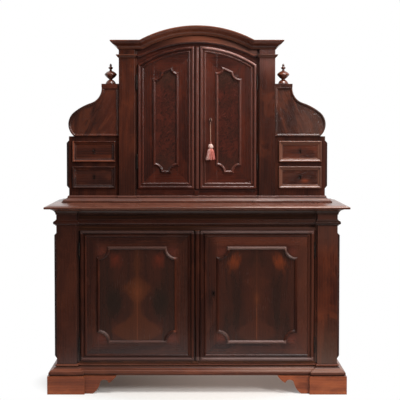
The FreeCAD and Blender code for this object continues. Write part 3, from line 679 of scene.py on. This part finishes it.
# %% [markdown]
# ## Carcase, mouldings and feet
# The uprights, rails and mouldings differ a little in tone, because they were cut from different boards: the feet
# are paler and browner, the pilasters warmer, the rails between them redder. The right-hand foot, base pilaster and
# scroll are made paler than their left-hand twins, which is painted light from the right. The top edges that catch
# the light and the duster are greyer. Many of the shades below paint light and shade into the colour: highlights on
# the tops of mouldings, sheen, and shade in grooves, under overhangs and on the left. Each shade below is a list of
# masks, drawn in metres from the floor and from the cupboard's middle, with the colour that each one lets through.

# %% Shades of the carcase
# An arch is given by the height of its centre and its radius, and the crown's by the height of its level top as well.
FRIEZE_ARCH = (1.2577, 0.7163)
CROWN_ARCH = (1.3640, 0.6930, 1.9750)
ARCH_HALF = 0.327


def from_arch(x, z, centre):
    """How far a point is from the centre of an arch, which stands over the cupboard's middle."""
    return (x * x + (z - centre) ** 2.0) ** 0.5


def darker_towards_worktop(x, y, z):
    """The foot of an upper pilaster, darker towards the worktop."""
    return [(z.ramp(1.46, 1.10) * 0.72, (34, 14, 9))]


def darker_foot_and_painted_sheen(x, y, z):
    """The same, with a painted sheen on its head."""
    # Painted sheen on the head of the pilaster.
    return darker_towards_worktop(x, y, z) + [(z.ramp(1.72, 1.92) * 0.42, (140, 96, 88))]


def frieze_painted_light(x, y, z):
    """The frieze between the crown and the ledge below it, and the ledge's lip, all with painted light."""
    centre, radius = FRIEZE_ARCH
    above = (from_arch(x, z, centre) - radius).ramp(-0.002, 0.002)
    lip = (y < -0.004) * (z > 1.88)
    # Painted light: the frieze palest towards its middle as if lit from the front, a sheen to its right, and a
    # highlight on the lip, palest on the right.
    return [(above * ((x - 0.03).hump(0.0, 0.17) * 0.80), (186, 108, 78)),
            (above * x.ramp(0.06, 0.26) * 0.55, (150, 104, 90)),
            (lip * x.ramp(-0.25, 0.12) * 0.75, (168, 104, 84)),
            (lip * x.ramp(-0.05, -0.30) * 0.45, (112, 54, 38))]


def crown_painted_light_and_shade(x, y, z):
    """The arched part of the crown, painted paler than its level ends as a highlight, its lower members painted as
    shadow.
    """
    centre, radius, level_top = CROWN_ARCH
    arched = abs(x) < ARCH_HALF
    below = (radius - from_arch(x, z, centre)) * arched + (level_top - z) * (1.0 - arched)
    return [(abs(x).ramp(0.36, 0.20) * 0.40, (150, 84, 58)),
            (below.ramp(0.030, 0.038) * 0.42, (60, 34, 25)),
            (x.ramp(0.16, 0.40) * 0.35, (66, 42, 34))]


def plinth_dust_and_painted_light(x, y, z):
    """Dust and painted highlights on the plinth: a dark lip, a pale slope and a dark joint with the worktop."""
    slope = z.ramp(1.0520, 1.0550) * z.ramp(1.0680, 1.0655)
    # The pale top and the pale slope are painted highlights, stronger on the right; the slope's grey is dust as well.
    return [(z.ramp(1.0655, 1.0685) * z.ramp(1.0760, 1.0735) * 0.80, (46, 26, 21)),
            (z.ramp(1.0735, 1.0760) * 0.30, (150, 112, 102)),
            (slope * 0.16, (176, 150, 142)),
            (slope * z.ramp(1.0550, 1.0610) * x.ramp(-0.10, 0.30) * 0.32, (196, 168, 158)),
            (z.ramp(1.0545, 1.0515) * 0.65, (64, 38, 29))]


def worktop_edge_light(x, y, z):
    """The worktop's front edge, with a painted highlight on the right and painted shade on the left and underneath.
    """
    edge = (y < -0.272) * z.ramp(1.0360, 1.0385)
    return [(edge * x.ramp(0.0, 0.45) * 0.55, (218, 184, 170)),
            (edge * x.ramp(0.05, -0.20) * 0.66, (84, 50, 39)),
            (z.ramp(1.0365, 1.0335) * 0.45, (70, 38, 28))]


def dark_head_rail(x, y, z):
    """The rail over the lower doors, much darker than the one under them but for a painted highlight on the right."""
    return [((z > 0.5) * 0.85, (43, 25, 20)),
            (z.ramp(0.9040, 0.9060) * z.ramp(0.9240, 0.9180) * x.ramp(-0.10, 0.20) * 0.50, (112, 78, 70))]


def pale_foot(x, y, z):
    """The right-hand base pilaster, painted paler and greyer at its foot and head, as light from the right."""
    return [(z.ramp(0.50, 0.15) * 0.32, (112, 86, 70)), (z.ramp(0.74, 0.90) * 0.26, (104, 78, 68))]


def scroll_shade(x, y, z):
    """The scroll boards: the left redder towards the cabinet, the right given painted light, paler and greyer
    outwards.
    """
    right = x > 0.0
    return [(x.ramp(-0.60, -0.50) * (1.0 - right) * 0.35, (104, 46, 28)),
            (right * 0.06, (124, 72, 52)), (x.ramp(0.54, 0.64) * 0.14, (126, 96, 84))]


def waist_lip(x, y, z):
    """The cove under the worktop and its lip, browner than the moulding below them, with painted light."""
    # Painted light: a highlight on the lip, and the right half paler.
    return [(z.ramp(0.970, 0.980) * z.ramp(1.0200, 1.0150) * 0.75, (84, 57, 48)),
            (z.ramp(1.0150, 1.0190) * 0.85, (146, 92, 72)),
            (x.ramp(0.0, 0.5) * 0.30, (86, 60, 50))]


def base_lines(x, y, z):
    """The base moulding with painted light and shade, and a dark lowest fillet."""
    # Painted shade on the left and in the black groove, painted highlights on the pale beads and the upper slope,
    # most on the right.
    return [(x.ramp(0.05, -0.25) * x.ramp(-0.66, -0.62) * 0.45, (66, 38, 28)),
            (x.ramp(-0.62, -0.66) * z.ramp(0.120, 0.128) * 0.30, (150, 92, 70)),
            (x.ramp(-0.05, 0.40) * z.ramp(0.116, 0.122) * z.ramp(0.139, 0.136) * 0.32, (190, 146, 126)),
            (z.ramp(0.1360, 0.1385) * z.ramp(0.1465, 0.1450) * 0.85, (40, 23, 17)),
            (z.hump(0.1262, 0.0022) * 0.35, (110, 74, 60)),
            (z.ramp(0.1455, 0.1475) * z.ramp(0.1525, 0.1505) * 0.60, (176, 124, 102)),
            (z.ramp(0.1215, 0.1180) * 0.28, (60, 32, 22))]


print("carcase shades ready")

# %% Carcase finishes
def dress(material, *names):
    """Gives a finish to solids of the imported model, through their material slots."""
    for name in names:
        for place in nodes[name].material_slots:
            place.material = material


def in_walnut(pieces, name, *grain, **extras):
    """Gives pieces a walnut finish that is made for them."""
    dress(walnut("walnut_" + name, *grain, **extras), *pieces)


def both(*names):
    """The left-hand and the right-hand piece of each name."""
    return [name + hand for name in names for hand in ("_left", "_right")]


BASE_CASE = round_case(0.78, -0.212)
DULL = {"gloss": -0.25, "shine": 0.1, "coat": 0.0}
in_walnut(["upper_pilaster_left"], "pilaster_upper_left", upright, "warm", 1.0, 0.15, figure=0.25, shade=darker_towards_worktop)
in_walnut(["upper_pilaster_right"], "pilaster_upper_right", upright, "warm", 1.4, 0.1, figure=0.2,
          shade=darker_foot_and_painted_sheen)
in_walnut(["base_pilaster_left"], "pilaster_base_left", upright, "deep", 2.0, 0.05, wide_bands=0.2)
# The right-hand base pilaster is warmer and paler than the left, which is painted light from the right.
in_walnut(["base_pilaster_right"], "pilaster_base_right", upright, "warm", 2.6, 0.2, mottle=0.45, shade=pale_foot)
in_walnut(both("base_side", "upper_side"), "side", upright, "deep", 3.0, 0.1, **DULL)
in_walnut(["upper_bottom_rail"], "rail", level, "red", 4.0, 0.2)
in_walnut(["base_rails"], "sill", level, "sill", 4.5, 0.2, shine=0.15, shade=dark_head_rail)
in_walnut(["arched_head"], "head", level, "red", 5.0, 0.15, shade=frieze_painted_light)
in_walnut(["cornice"], "crown", round_case(0.45, -0.01), "crown", 6.0, -0.1, mottle=0.45, shade=crown_painted_light_and_shade)
in_walnut(["waist_moulding"], "waist", BASE_CASE, "deep", 7.0, 0.15, shine=0.25, shade=waist_lip)
in_walnut(["base_moulding"], "base_moulding", BASE_CASE, "crown", 8.0, -0.5, gloss=-0.10, shine=0.2, mottle=0.35,
          coat=0.03, shade=base_lines)
in_walnut(["plinth_moulding"], "plinth", round_case(0.741, 0.008), "warm", 9.0, -0.1, shine=0.2, shade=plinth_dust_and_painted_light)
in_walnut(["worktop"], "worktop", round_case(0.8155, -0.265), "top", 10.0, 0.2, shade=worktop_edge_light)
in_walnut(["foot_front_left", "rear_feet"], "foot_left", BASE_CASE, "foot", 11.0, 0.1, shine=0.2)
# The right-hand foot is the left one's walnut made paler, which is painted light from the right.
in_walnut(["foot_front_right"], "foot_right", BASE_CASE, "foot", 11.7, 0.3, shine=0.2)
in_walnut(both("finial"), "finial", upright, "crown", 12.0, 0.0, gloss=0.06, shine=0.8)
in_walnut(both("wing_case"), "wing", upright, "deep", 13.0, 0.05, **DULL)
in_walnut(both("wing_scroll"), "scroll", slanting, "deep", 14.0, 0.15, wide_bands=0.15, mottle=0.85, figure=0.15,
          shade=scroll_shade)
print("carcase dressed")

# %% [markdown]
# ## Door frames, mouldings and drawers
# The frames of the doors are veneered with mitred lengths, so the grain meets at 45 degrees in each corner. The
# mouldings do the same. Drawer fronts are level boards with a small mitred bead. Both doors of a pair share one
# finish, because a frame is told only by its middle and its half size; where the two differ in wear or in painted
# light, a mask asks on which side of the cupboard the point is.

# %% Shades of the doors
LOWER_DOOR_X, LOWER_DOOR_Z = 0.3335, 0.54175
FIELD_HALF_X, FIELD_HALF_Z = 0.232, 0.280
CORNER_X = 0.197
KEYHOLE_X, KEYHOLE_Z = 0.091, 0.551
KEY_Z = 1.509
DOOR_ARCH = (1.2577, 0.6765)
# The colour of a painted keyhole: the shade of the hole, with grime round it.
KEYHOLE_SHADE_AND_GRIME = (10, 6, 5)


def lower_frame_shade(x, y, z):
    """Painted keyhole shade and grime, redder corners beside the field, a dark inner stile and an orange cover strip.
    """
    out, up = abs(abs(x) - LOWER_DOOR_X), abs(z - LOWER_DOOR_Z)
    corner = out.hump(CORNER_X, 0.026) * up.hump(0.243, 0.026)
    strip = (x > -0.0125) * (x < 0.0168)
    return [(abs(x).ramp(0.115, 0.085) * (x.ramp(0.02, -0.02) * 0.35 + 0.20), (38, 18, 12)),
            (z.ramp(0.805, 0.835) * x.ramp(0.05, 0.15) * 0.38, (132, 68, 48)),
            # Painted light on the outer stile of the right-hand door.
            (x.ramp(0.50, 0.57) * 0.30, (110, 62, 46)),
            (corner * 0.65, (104, 50, 38)),
            (strip * (z.ramp(0.70, 0.84) * 0.38 + 0.42), (164, 82, 36)),
            # The keyhole is painted: a dark spot for the shade in the hole, with grime round it.
            (((x - KEYHOLE_X).hump(0.0, 0.010) * (z - KEYHOLE_Z).hump(0.0, 0.019) * 1.3).clipped(), KEYHOLE_SHADE_AND_GRIME)]


def upper_frame_shade(x, y, z):
    """Outer stiles darker than the inner ones, and a dark patch round the key."""
    return [(abs(x).ramp(0.262, 0.285) * 0.50, (34, 15, 10)),
            (x.hump(0.060, 0.030) * 0.30, (112, 54, 40)),
            ((x - KEY_X).hump(0.0, 0.013) * (z - KEY_Z).hump(0.0, 0.016) * 0.80, (22, 15, 17))]


def lower_mould_painted_highlights(x, y, z):
    """Painted highlights on the lower doors' level beads and corner arcs, most on the right."""
    right = x.ramp(-0.05, 0.15)
    u, v = x - ((x > 0.0) * 2.0 - 1.0) * LOWER_DOOR_X, z - LOWER_DOOR_Z
    field = (abs(u) < FIELD_HALF_X) * (abs(v) < FIELD_HALF_Z)
    head = field * z.ramp(0.7920, 0.7965)
    foot = field * z.ramp(0.2890, 0.2870)
    ends = z.ramp(0.8830, 0.8860) + z.ramp(0.1965, 0.1945)
    arcs = ((u * v) > 0.0) * abs(u).hump(CORNER_X, 0.026) * abs(v).hump(0.240, 0.026)
    return [(head * (right * 0.24 + 0.10), (186, 150, 138)),
            (foot * (right * 0.20 + 0.10), (182, 150, 142)),
            (ends * (right * 0.20 + 0.10), (182, 154, 148)),
            (arcs * 0.55, (196, 168, 158)),
            # Painted light on two upright beads that face the light from the right.
            (x.ramp(0.612, 0.618) * 0.32, (120, 70, 54)),
            (field * (x + 0.1230).hump(0.0, 0.0055) * 0.50, (150, 78, 54))]


def arched_bead(x, y, z):
    """The bead on the arched head of the right-hand upper door, with a painted highlight, and its warmer lengths."""
    centre, radius = DOOR_ARCH
    return [(x.ramp(-0.070, -0.030) * 0.32, (132, 78, 64)),
            (from_arch(x, z, centre).hump(radius, 0.0125) * x.ramp(0.015, 0.07) * 0.52, (222, 166, 154))]


print("door shades ready")

# %% Door finishes
lower_frame = mitred(LOWER_DOOR_X, LOWER_DOOR_Z, 0.2170, 0.26325)
upper_frame = mitred(0.1795, 1.5200, 0.0665, 0.2980)
in_walnut(both("lower_door_frame"), "lower_frame", lower_frame, "deep", 21.0, 0.0, wide_bands=0.4,
          shade=lower_frame_shade)
in_walnut(both("upper_door_frame"), "upper_frame", upper_frame, "red", 22.0, -0.05, wide_bands=0.3,
          shade=upper_frame_shade)
in_walnut(both("lower_door_moulding"), "lower_mould", lower_frame, "deep", 23.0, 0.1, gloss=-0.06, shine=0.2,
          coat=0.04, shade=lower_mould_painted_highlights)
in_walnut(both("upper_door_moulding"), "upper_mould", upper_frame, "red", 24.0, 0.1, shade=arched_bead)
print("doors dressed")

# %% Drawer finishes
DRAWER_X = 0.5965
BEAD_FACE = 0.0079
UPPER_KEYHOLE, LOWER_KEYHOLE = 1.3425, 1.1925
lower_drawer = mitred(DRAWER_X, 1.1875, 0.12375, 0.06375)
upper_drawer = mitred(DRAWER_X, 1.3375, 0.12375, 0.06075)


def drawer_run(row):
    """Level boards with a bead round them that turns at the corners."""
    def run(finish):
        across, depth, along, mitre = row(finish)
        x, y, z = finish.place()
        bead = y < BEAD_FACE
        board = 1.0 - bead
        return across * bead + (z + 6.3) * board, depth, along * bead + x * board, mitre * bead
    return run


def drawer_shade(x, y, z):
    """Painted keyhole shade and grime, a bright patch on one front and painted highlights on the beads."""
    row = z > 1.26
    middle = row * UPPER_KEYHOLE + (1.0 - row) * LOWER_KEYHOLE
    hole = ((abs(x) - DRAWER_X).hump(0.0, 0.0095) * (z - middle).hump(-0.004, 0.017) * 1.3).clipped()
    patch = (x - 0.625).hump(0.0, 0.020) * (z - 1.168).hump(0.0, 0.011)
    bead = y < BEAD_FACE
    # Painted highlights on the left and lower beads of the upper left drawer, and on the beads of the right-hand
    # drawers.
    painted_lit_bead = (x.ramp(-0.708, -0.712) + z.ramp(1.2890, 1.2855) * 0.7).clipped()
    return [(patch * 0.60, (144, 68, 40)), (bead * (x < 0.0) * row * painted_lit_bead * 0.50, (164, 88, 58)),
            (bead * (x > 0.0) * 0.34, (168, 112, 88)), (hole, KEYHOLE_SHADE_AND_GRIME)]


in_walnut(both("lower_drawer_front"), "drawer_low", drawer_run(lower_drawer), "deep", 25.0, 0.05, mottle=0.6,
          shade=drawer_shade)
in_walnut(both("upper_drawer_front"), "drawer_high", drawer_run(upper_drawer), "warm", 26.0, -0.1, shade=drawer_shade)
print("drawers dressed")

# %% [markdown]
# ## Flame veneer in the lower doors
# The panel is a sheet cut from the fork of a tree, opened like a book: two leaves mirrored about the joint in the
# middle. The pale heartwood makes a spear with shoulders and lobes, between dark sides. It is drawn here as the half
# width of that pale figure, a sum of soft humps over the height, and the mirror comes from using the distance from
# the joint. Lines that follow the figure's own shape are the yearly rings of the fork. The two doors were cut apart
# in the flitch, so the right-hand one shows a narrower spear and brighter patches in its upper corners.

# %% Flame veneer
def flame(name, hand, seed):
    """The bookmatched panel of one lower door; hand is -1 for the left one and 1 for the right one."""
    finish = Finish(name)
    x, y, z = finish.place()
    out = abs(x - LOWER_DOOR_X * hand)
    v = z - LOWER_DOOR_Z
    sway = finish.noise((out + seed, v, seed), 9.0, 3.0, 0.55) - 0.5
    fine = finish.noise((out + seed, v * 0.45, seed), 46.0, 4.0, 0.65) - 0.5
    if hand < 0:
        half = 0.012 + v.hump(0.035, 0.048) * 0.066 + v.hump(-0.07, 0.05) * 0.022 + v.hump(-0.20, 0.062) * 0.128
        patch = out.hump(0.120, 0.052) * v.hump(0.195, 0.064) * 0.72
        patch_tone = (98, 40, 25)
        heart_tone = (86, 43, 24)
        core = out.hump(0.0, 0.045) * v.hump(0.020, 0.075) * 0.85
        flank = out.hump(0.125, 0.050) * v.hump(-0.04, 0.11)
        spine = v.ramp(0.12, -0.05) * 0.26 + 0.06
    else:
        half = 0.012 + v.hump(-0.01, 0.06) * 0.030 + v.hump(-0.21, 0.05) * 0.100 + v.hump(0.075, 0.03) * 0.055
        patch = (out + (v - 0.16) * 0.37).hump(0.138, 0.054) * v.hump(0.178, 0.074) * 0.78
        patch_tone = (120, 54, 27)
        heart_tone = (76, 38, 25)
        core = out.hump(0.0, 0.030) * v.hump(-0.02, 0.05) * 0.6
        flank = out.hump(0.14, 0.06) * v.hump(-0.13, 0.09) * 0.45 + out.hump(0.0, 0.075) * v.hump(0.20, 0.075) * 0.55
        spine = v.ramp(0.12, -0.12) * 0.32 + 0.08
    depth_in = (half - out) + sway * 0.075 + fine * 0.030
    heart = depth_in.ramp(-0.016, 0.022)
    contour = (depth_in * 420.0 + sway * 5.0).sine() * 0.5 + 0.5
    joint = 1.0 - out.ramp(0.0006, 0.0036)
    bands, _, streaks, pores = wood_marks(finish, out + 0.7 * seed, y, v * 1.2, seed)
    colour = finish.blend(bands.ramp(0.35, 0.65), (48, 27, 20), (66, 33, 23))
    colour = finish.over(colour, [
        ((flank + fine * 0.8 + sway * 0.4).ramp(0.10, 0.95) * 0.85, (35, 25, 19)),
        (heart * 0.70, heart_tone),
        ((core + fine * 0.6).ramp(0.20, 1.0) * 0.60, (112, 58, 32)),
        ((patch + sway * 0.9 + fine * 0.9).ramp(0.25, 1.0), patch_tone),
        (contour * 0.16, (30, 18, 14)),
        (streaks.ramp(0.45, 0.75) * 0.30, (26, 15, 11)),
        (joint * spine, (134, 72, 42)),
        (pores * 0.45, PORE)])
    return waxed(finish, colour, streaks, pores, (110, 70, 50), 0.02)


dress(flame("flame_veneer_left", -1, 3.0), "lower_door_panel_left")
dress(flame("flame_veneer_right", 1, 8.0), "lower_door_panel_right")
print("flame veneer on two panels")

# %% [markdown]
# ## Burl veneer in the upper doors
# Burl is cut from a knotty growth: no grain, only curls and dark eyes a few millimetres wide, in red and dark brown.
# Plain noise looks like clouds, so one noise pushes another about, which gives the curls, and the cells of a Voronoi
# pattern give the eyes.

# %% Burl veneer
def burl(name, seed):
    finish = Finish(name)
    x, y, z = finish.place()
    spot = finish.vector(x + seed, y, z * 0.85)
    push = finish.noise(spot, 34.0, 3.0, 0.6)
    curls = finish.noise((x + seed + push * 0.03, y, z + push * 0.05), 96.0, 6.0, 0.66, 1.2)
    cloud = finish.noise(spot, 15.0, 3.0, 0.55)
    eyes = finish.node("ShaderNodeTexVoronoi", None,
                       {"Vector": finish.vector(x + push * 0.02, y, z + push * 0.02), "Scale": 120.0})
    pips = 1.0 - eyes.ramp(0.05, 0.30)
    colour = finish.blend(curls.ramp(0.34, 0.66), (42, 21, 16), (80, 34, 24))
    colour = finish.over(colour, [
        (cloud.ramp(0.52, 0.70) * 0.30, (104, 44, 31)),
        (cloud.ramp(0.50, 0.36) * 0.40, (46, 26, 19)),
        (pips * curls.ramp(0.4, 0.6) * 0.40, (28, 14, 10)),
        (z.ramp(1.66, 1.80) * 0.62, (50, 35, 26)),
        (z.ramp(1.36, 1.26) * 0.35, (50, 33, 25))])
    return waxed(finish, colour, curls, pips * 0.4, (110, 66, 50), 0.02)


dress(burl("burl_veneer_left", 2.0), "upper_door_panel_left")
dress(burl("burl_veneer_right", 6.5), "upper_door_panel_right")
print("burl veneer on two panels")

# %% [markdown]
# ## Backs, shelves and drawer boxes
# What isn't seen from outside was made of cheap pine and poplar and never waxed: dull, paler, with strong yearly
# rings and here and there a knot. Dust and handling have darkened it unevenly. The rings are a sine across the board
# that the knots push aside, which costs far less than carving them.

# %% Plain softwood
def softwood(name, run, seed):
    finish = Finish(name)
    across, depth, along, _ = run(finish)
    wander = finish.noise((across * 2.0 + seed, depth * 2.0, along * 0.7), 1.0, 2.0)
    knots = finish.node("ShaderNodeTexVoronoi", None,
                        {"Vector": finish.vector(across * 2.6 + seed, depth, along * 0.9), "Scale": 1.5})
    knot = 1.0 - knots.ramp(0.02, 0.10)
    rings = ((across + depth * 0.8 + wander * 0.12 + knot * 0.03) * 520.0).sine() * 0.5 + 0.5
    streaks = finish.noise((across * 240.0, depth * 240.0, along * 6.0), 1.0, 4.0, 0.6)
    dirt = finish.noise((across, depth, along), 5.0, 4.0, 0.6)
    edge, corner, soft = edge_and_corner(finish, 0.0012)
    colour = finish.blend(rings * 0.7, (148, 108, 70), (112, 72, 42))
    colour = finish.over(colour, [
        (knot, (62, 36, 22)),
        (streaks.ramp(0.4, 0.75) * 0.4, (86, 56, 34)),
        (dirt.ramp(0.42, 0.72) * 0.6, (74, 50, 34)),
        (corner * 0.7, (34, 22, 15)),
        (edge * 0.35, (176, 140, 100))])
    height = streaks * 0.6 + rings * 0.3
    return finish.surface(colour, 0.72 + streaks * 0.15, finish.relief(0.4, 0.0006, height, soft),
                          {"Specular IOR Level": 0.3})


dress(softwood("pine_upright", upright, 31.0), "base_back", "upper_back")
dress(softwood("pine_level", level, 32.0), "base_shelves", "upper_shelves", "upper_roof")
dress(softwood("pine_deepwise", deepwise, 33.0), *both("lower_drawer_box", "upper_drawer_box"))
print("softwood dressed")

# %% [markdown]
# ## Iron
# Hinges, locks and key are wrought iron: nearly black where it was never touched, brown with old rust in patches,
# and bright on the bow of the key, where fingers polish it.

# %% Iron
def iron(name, base, bright, rust_share, rough):
    finish = Finish(name)
    spot = finish.vector(*finish.place())
    hammered = finish.noise(spot, 220.0, 4.0, 0.6)
    patches = finish.noise(spot, 55.0, 4.0, 0.65)
    edge, corner, soft = edge_and_corner(finish, 0.0009)
    rust = patches.ramp(0.50, 0.68) * rust_share
    colour = finish.blend(hammered.ramp(0.3, 0.7), base, (64, 58, 54))
    colour = finish.over(colour, [
        (rust, (84, 48, 30)),
        (edge * 0.7, bright),
        (corner * 0.7, (18, 14, 12))])
    rough = rough + hammered * 0.15 + rust * 0.3 - edge * 0.12
    return finish.surface(colour, rough, finish.relief(0.35, 0.0004, hammered + rust * 0.5, soft),
                          {"Metallic": (0.85 - rust * 0.7).clipped()})


dress(iron("iron_hinges", (34, 30, 28), (120, 108, 98), 0.8, 0.42), "case_hinges", "hinge_pins",
      *both("lower_door_metal", "upper_door_metal"), "lock_bolt")
dress(iron("iron_key", (44, 42, 44), (186, 180, 176), 0.4, 0.30), "key")
print("iron dressed")

# %% [markdown]
# ## Silk
# The cord is a faded pink silk. The tassel's head is paler, nearly cream, and its skirt is coral, sun-bleached on
# the side that faces the window. Silk has a soft sheen at grazing angles. The single threads are geometry already,
# so the finish adds the fine twist, drawn as painted shade along its turns, the fading, and painted shade in the
# hollows between threads.

# %% Silk finishes
def silk(name, colours, twist, fade=False):
    finish = Finish(name)
    x, y, z = finish.place()
    first, second, shade = colours
    fibres = finish.noise((x * 900.0, y * 900.0, z * 120.0), 1.0, 3.0, 0.6)
    lots = finish.noise((x * 210.0, y * 210.0, z * 12.0), 1.0, 2.0, 0.5)
    winding = (z * 1500.0 + x * 2400.0 * twist).sine() * 0.5 + 0.5
    colour = finish.blend(lots.ramp(0.36, 0.64), first, second)
    if fade:
        pale = (x - TASSEL_X).ramp(0.004, -0.020)
        colour = finish.blend(pale * lots.ramp(0.44, 0.54) * 0.95, colour, (234, 204, 192))
        red = (x - TASSEL_X).ramp(0.014, 0.026)
        colour = finish.blend(red * 0.8, colour, (132, 36, 30))
    # Painted shade along the turns of the twist and in the hollows between threads.
    colour = finish.blend(winding * 0.25, colour, shade)
    painted_hollow_shade = finish.node("ShaderNodeAmbientOcclusion", {"samples": 6}, {"Distance": 0.004}, 1)
    colour = finish.blend((1.0 - painted_hollow_shade).ramp(0.45, 1.0) * 0.45, colour, shade)
    return finish.surface(colour, 0.52 + fibres * 0.2, finish.relief(0.4, 0.0003, fibres + winding * 0.5), {
        "Sheen Weight": 0.35, "Sheen Roughness": 0.4, "Specular IOR Level": 0.3})


cord_silk = silk("cord_silk", ((188, 146, 122), (160, 110, 94), (92, 48, 38)), 1.0)
throat_silk = silk("throat_silk", ((156, 96, 84), (124, 62, 52), (72, 32, 26)), 0.0)
head_silk = silk("head_silk", ((236, 208, 196), (208, 152, 136), (140, 80, 66)), 0.0)
skirt_silk = silk("skirt_silk", ((206, 122, 108), (158, 72, 58), (88, 32, 26)), 0.0, fade=True)
for piece, material in ((key_silk, cord_silk), (key_loop, cord_silk), (key_knot, cord_silk),
                        (tassel_throat, throat_silk), (tassel_head, head_silk), (tassel_binding, throat_silk),
                        (tassel_skirt, skirt_silk)):
    piece.data.materials.clear()
    piece.data.materials.append(material)
print("silk dressed")

# %% [markdown]
# ## What rides on what
# The cord, its loop and the tassel hang on the right-hand upper door and swing with it. The key turns inside the
# loop without taking it along.

# %% Riding, and hiding the imported cord and tassel
tassel = (tassel_throat, tassel_head, tassel_binding, tassel_skirt)
for piece in (key_silk, key_loop, key_knot):
    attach(piece, "upper_right_door")
for piece in tassel:
    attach(piece, "upper_right_door")
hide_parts("key_cord")
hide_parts("key_tassel")

print("box now", plain_box())
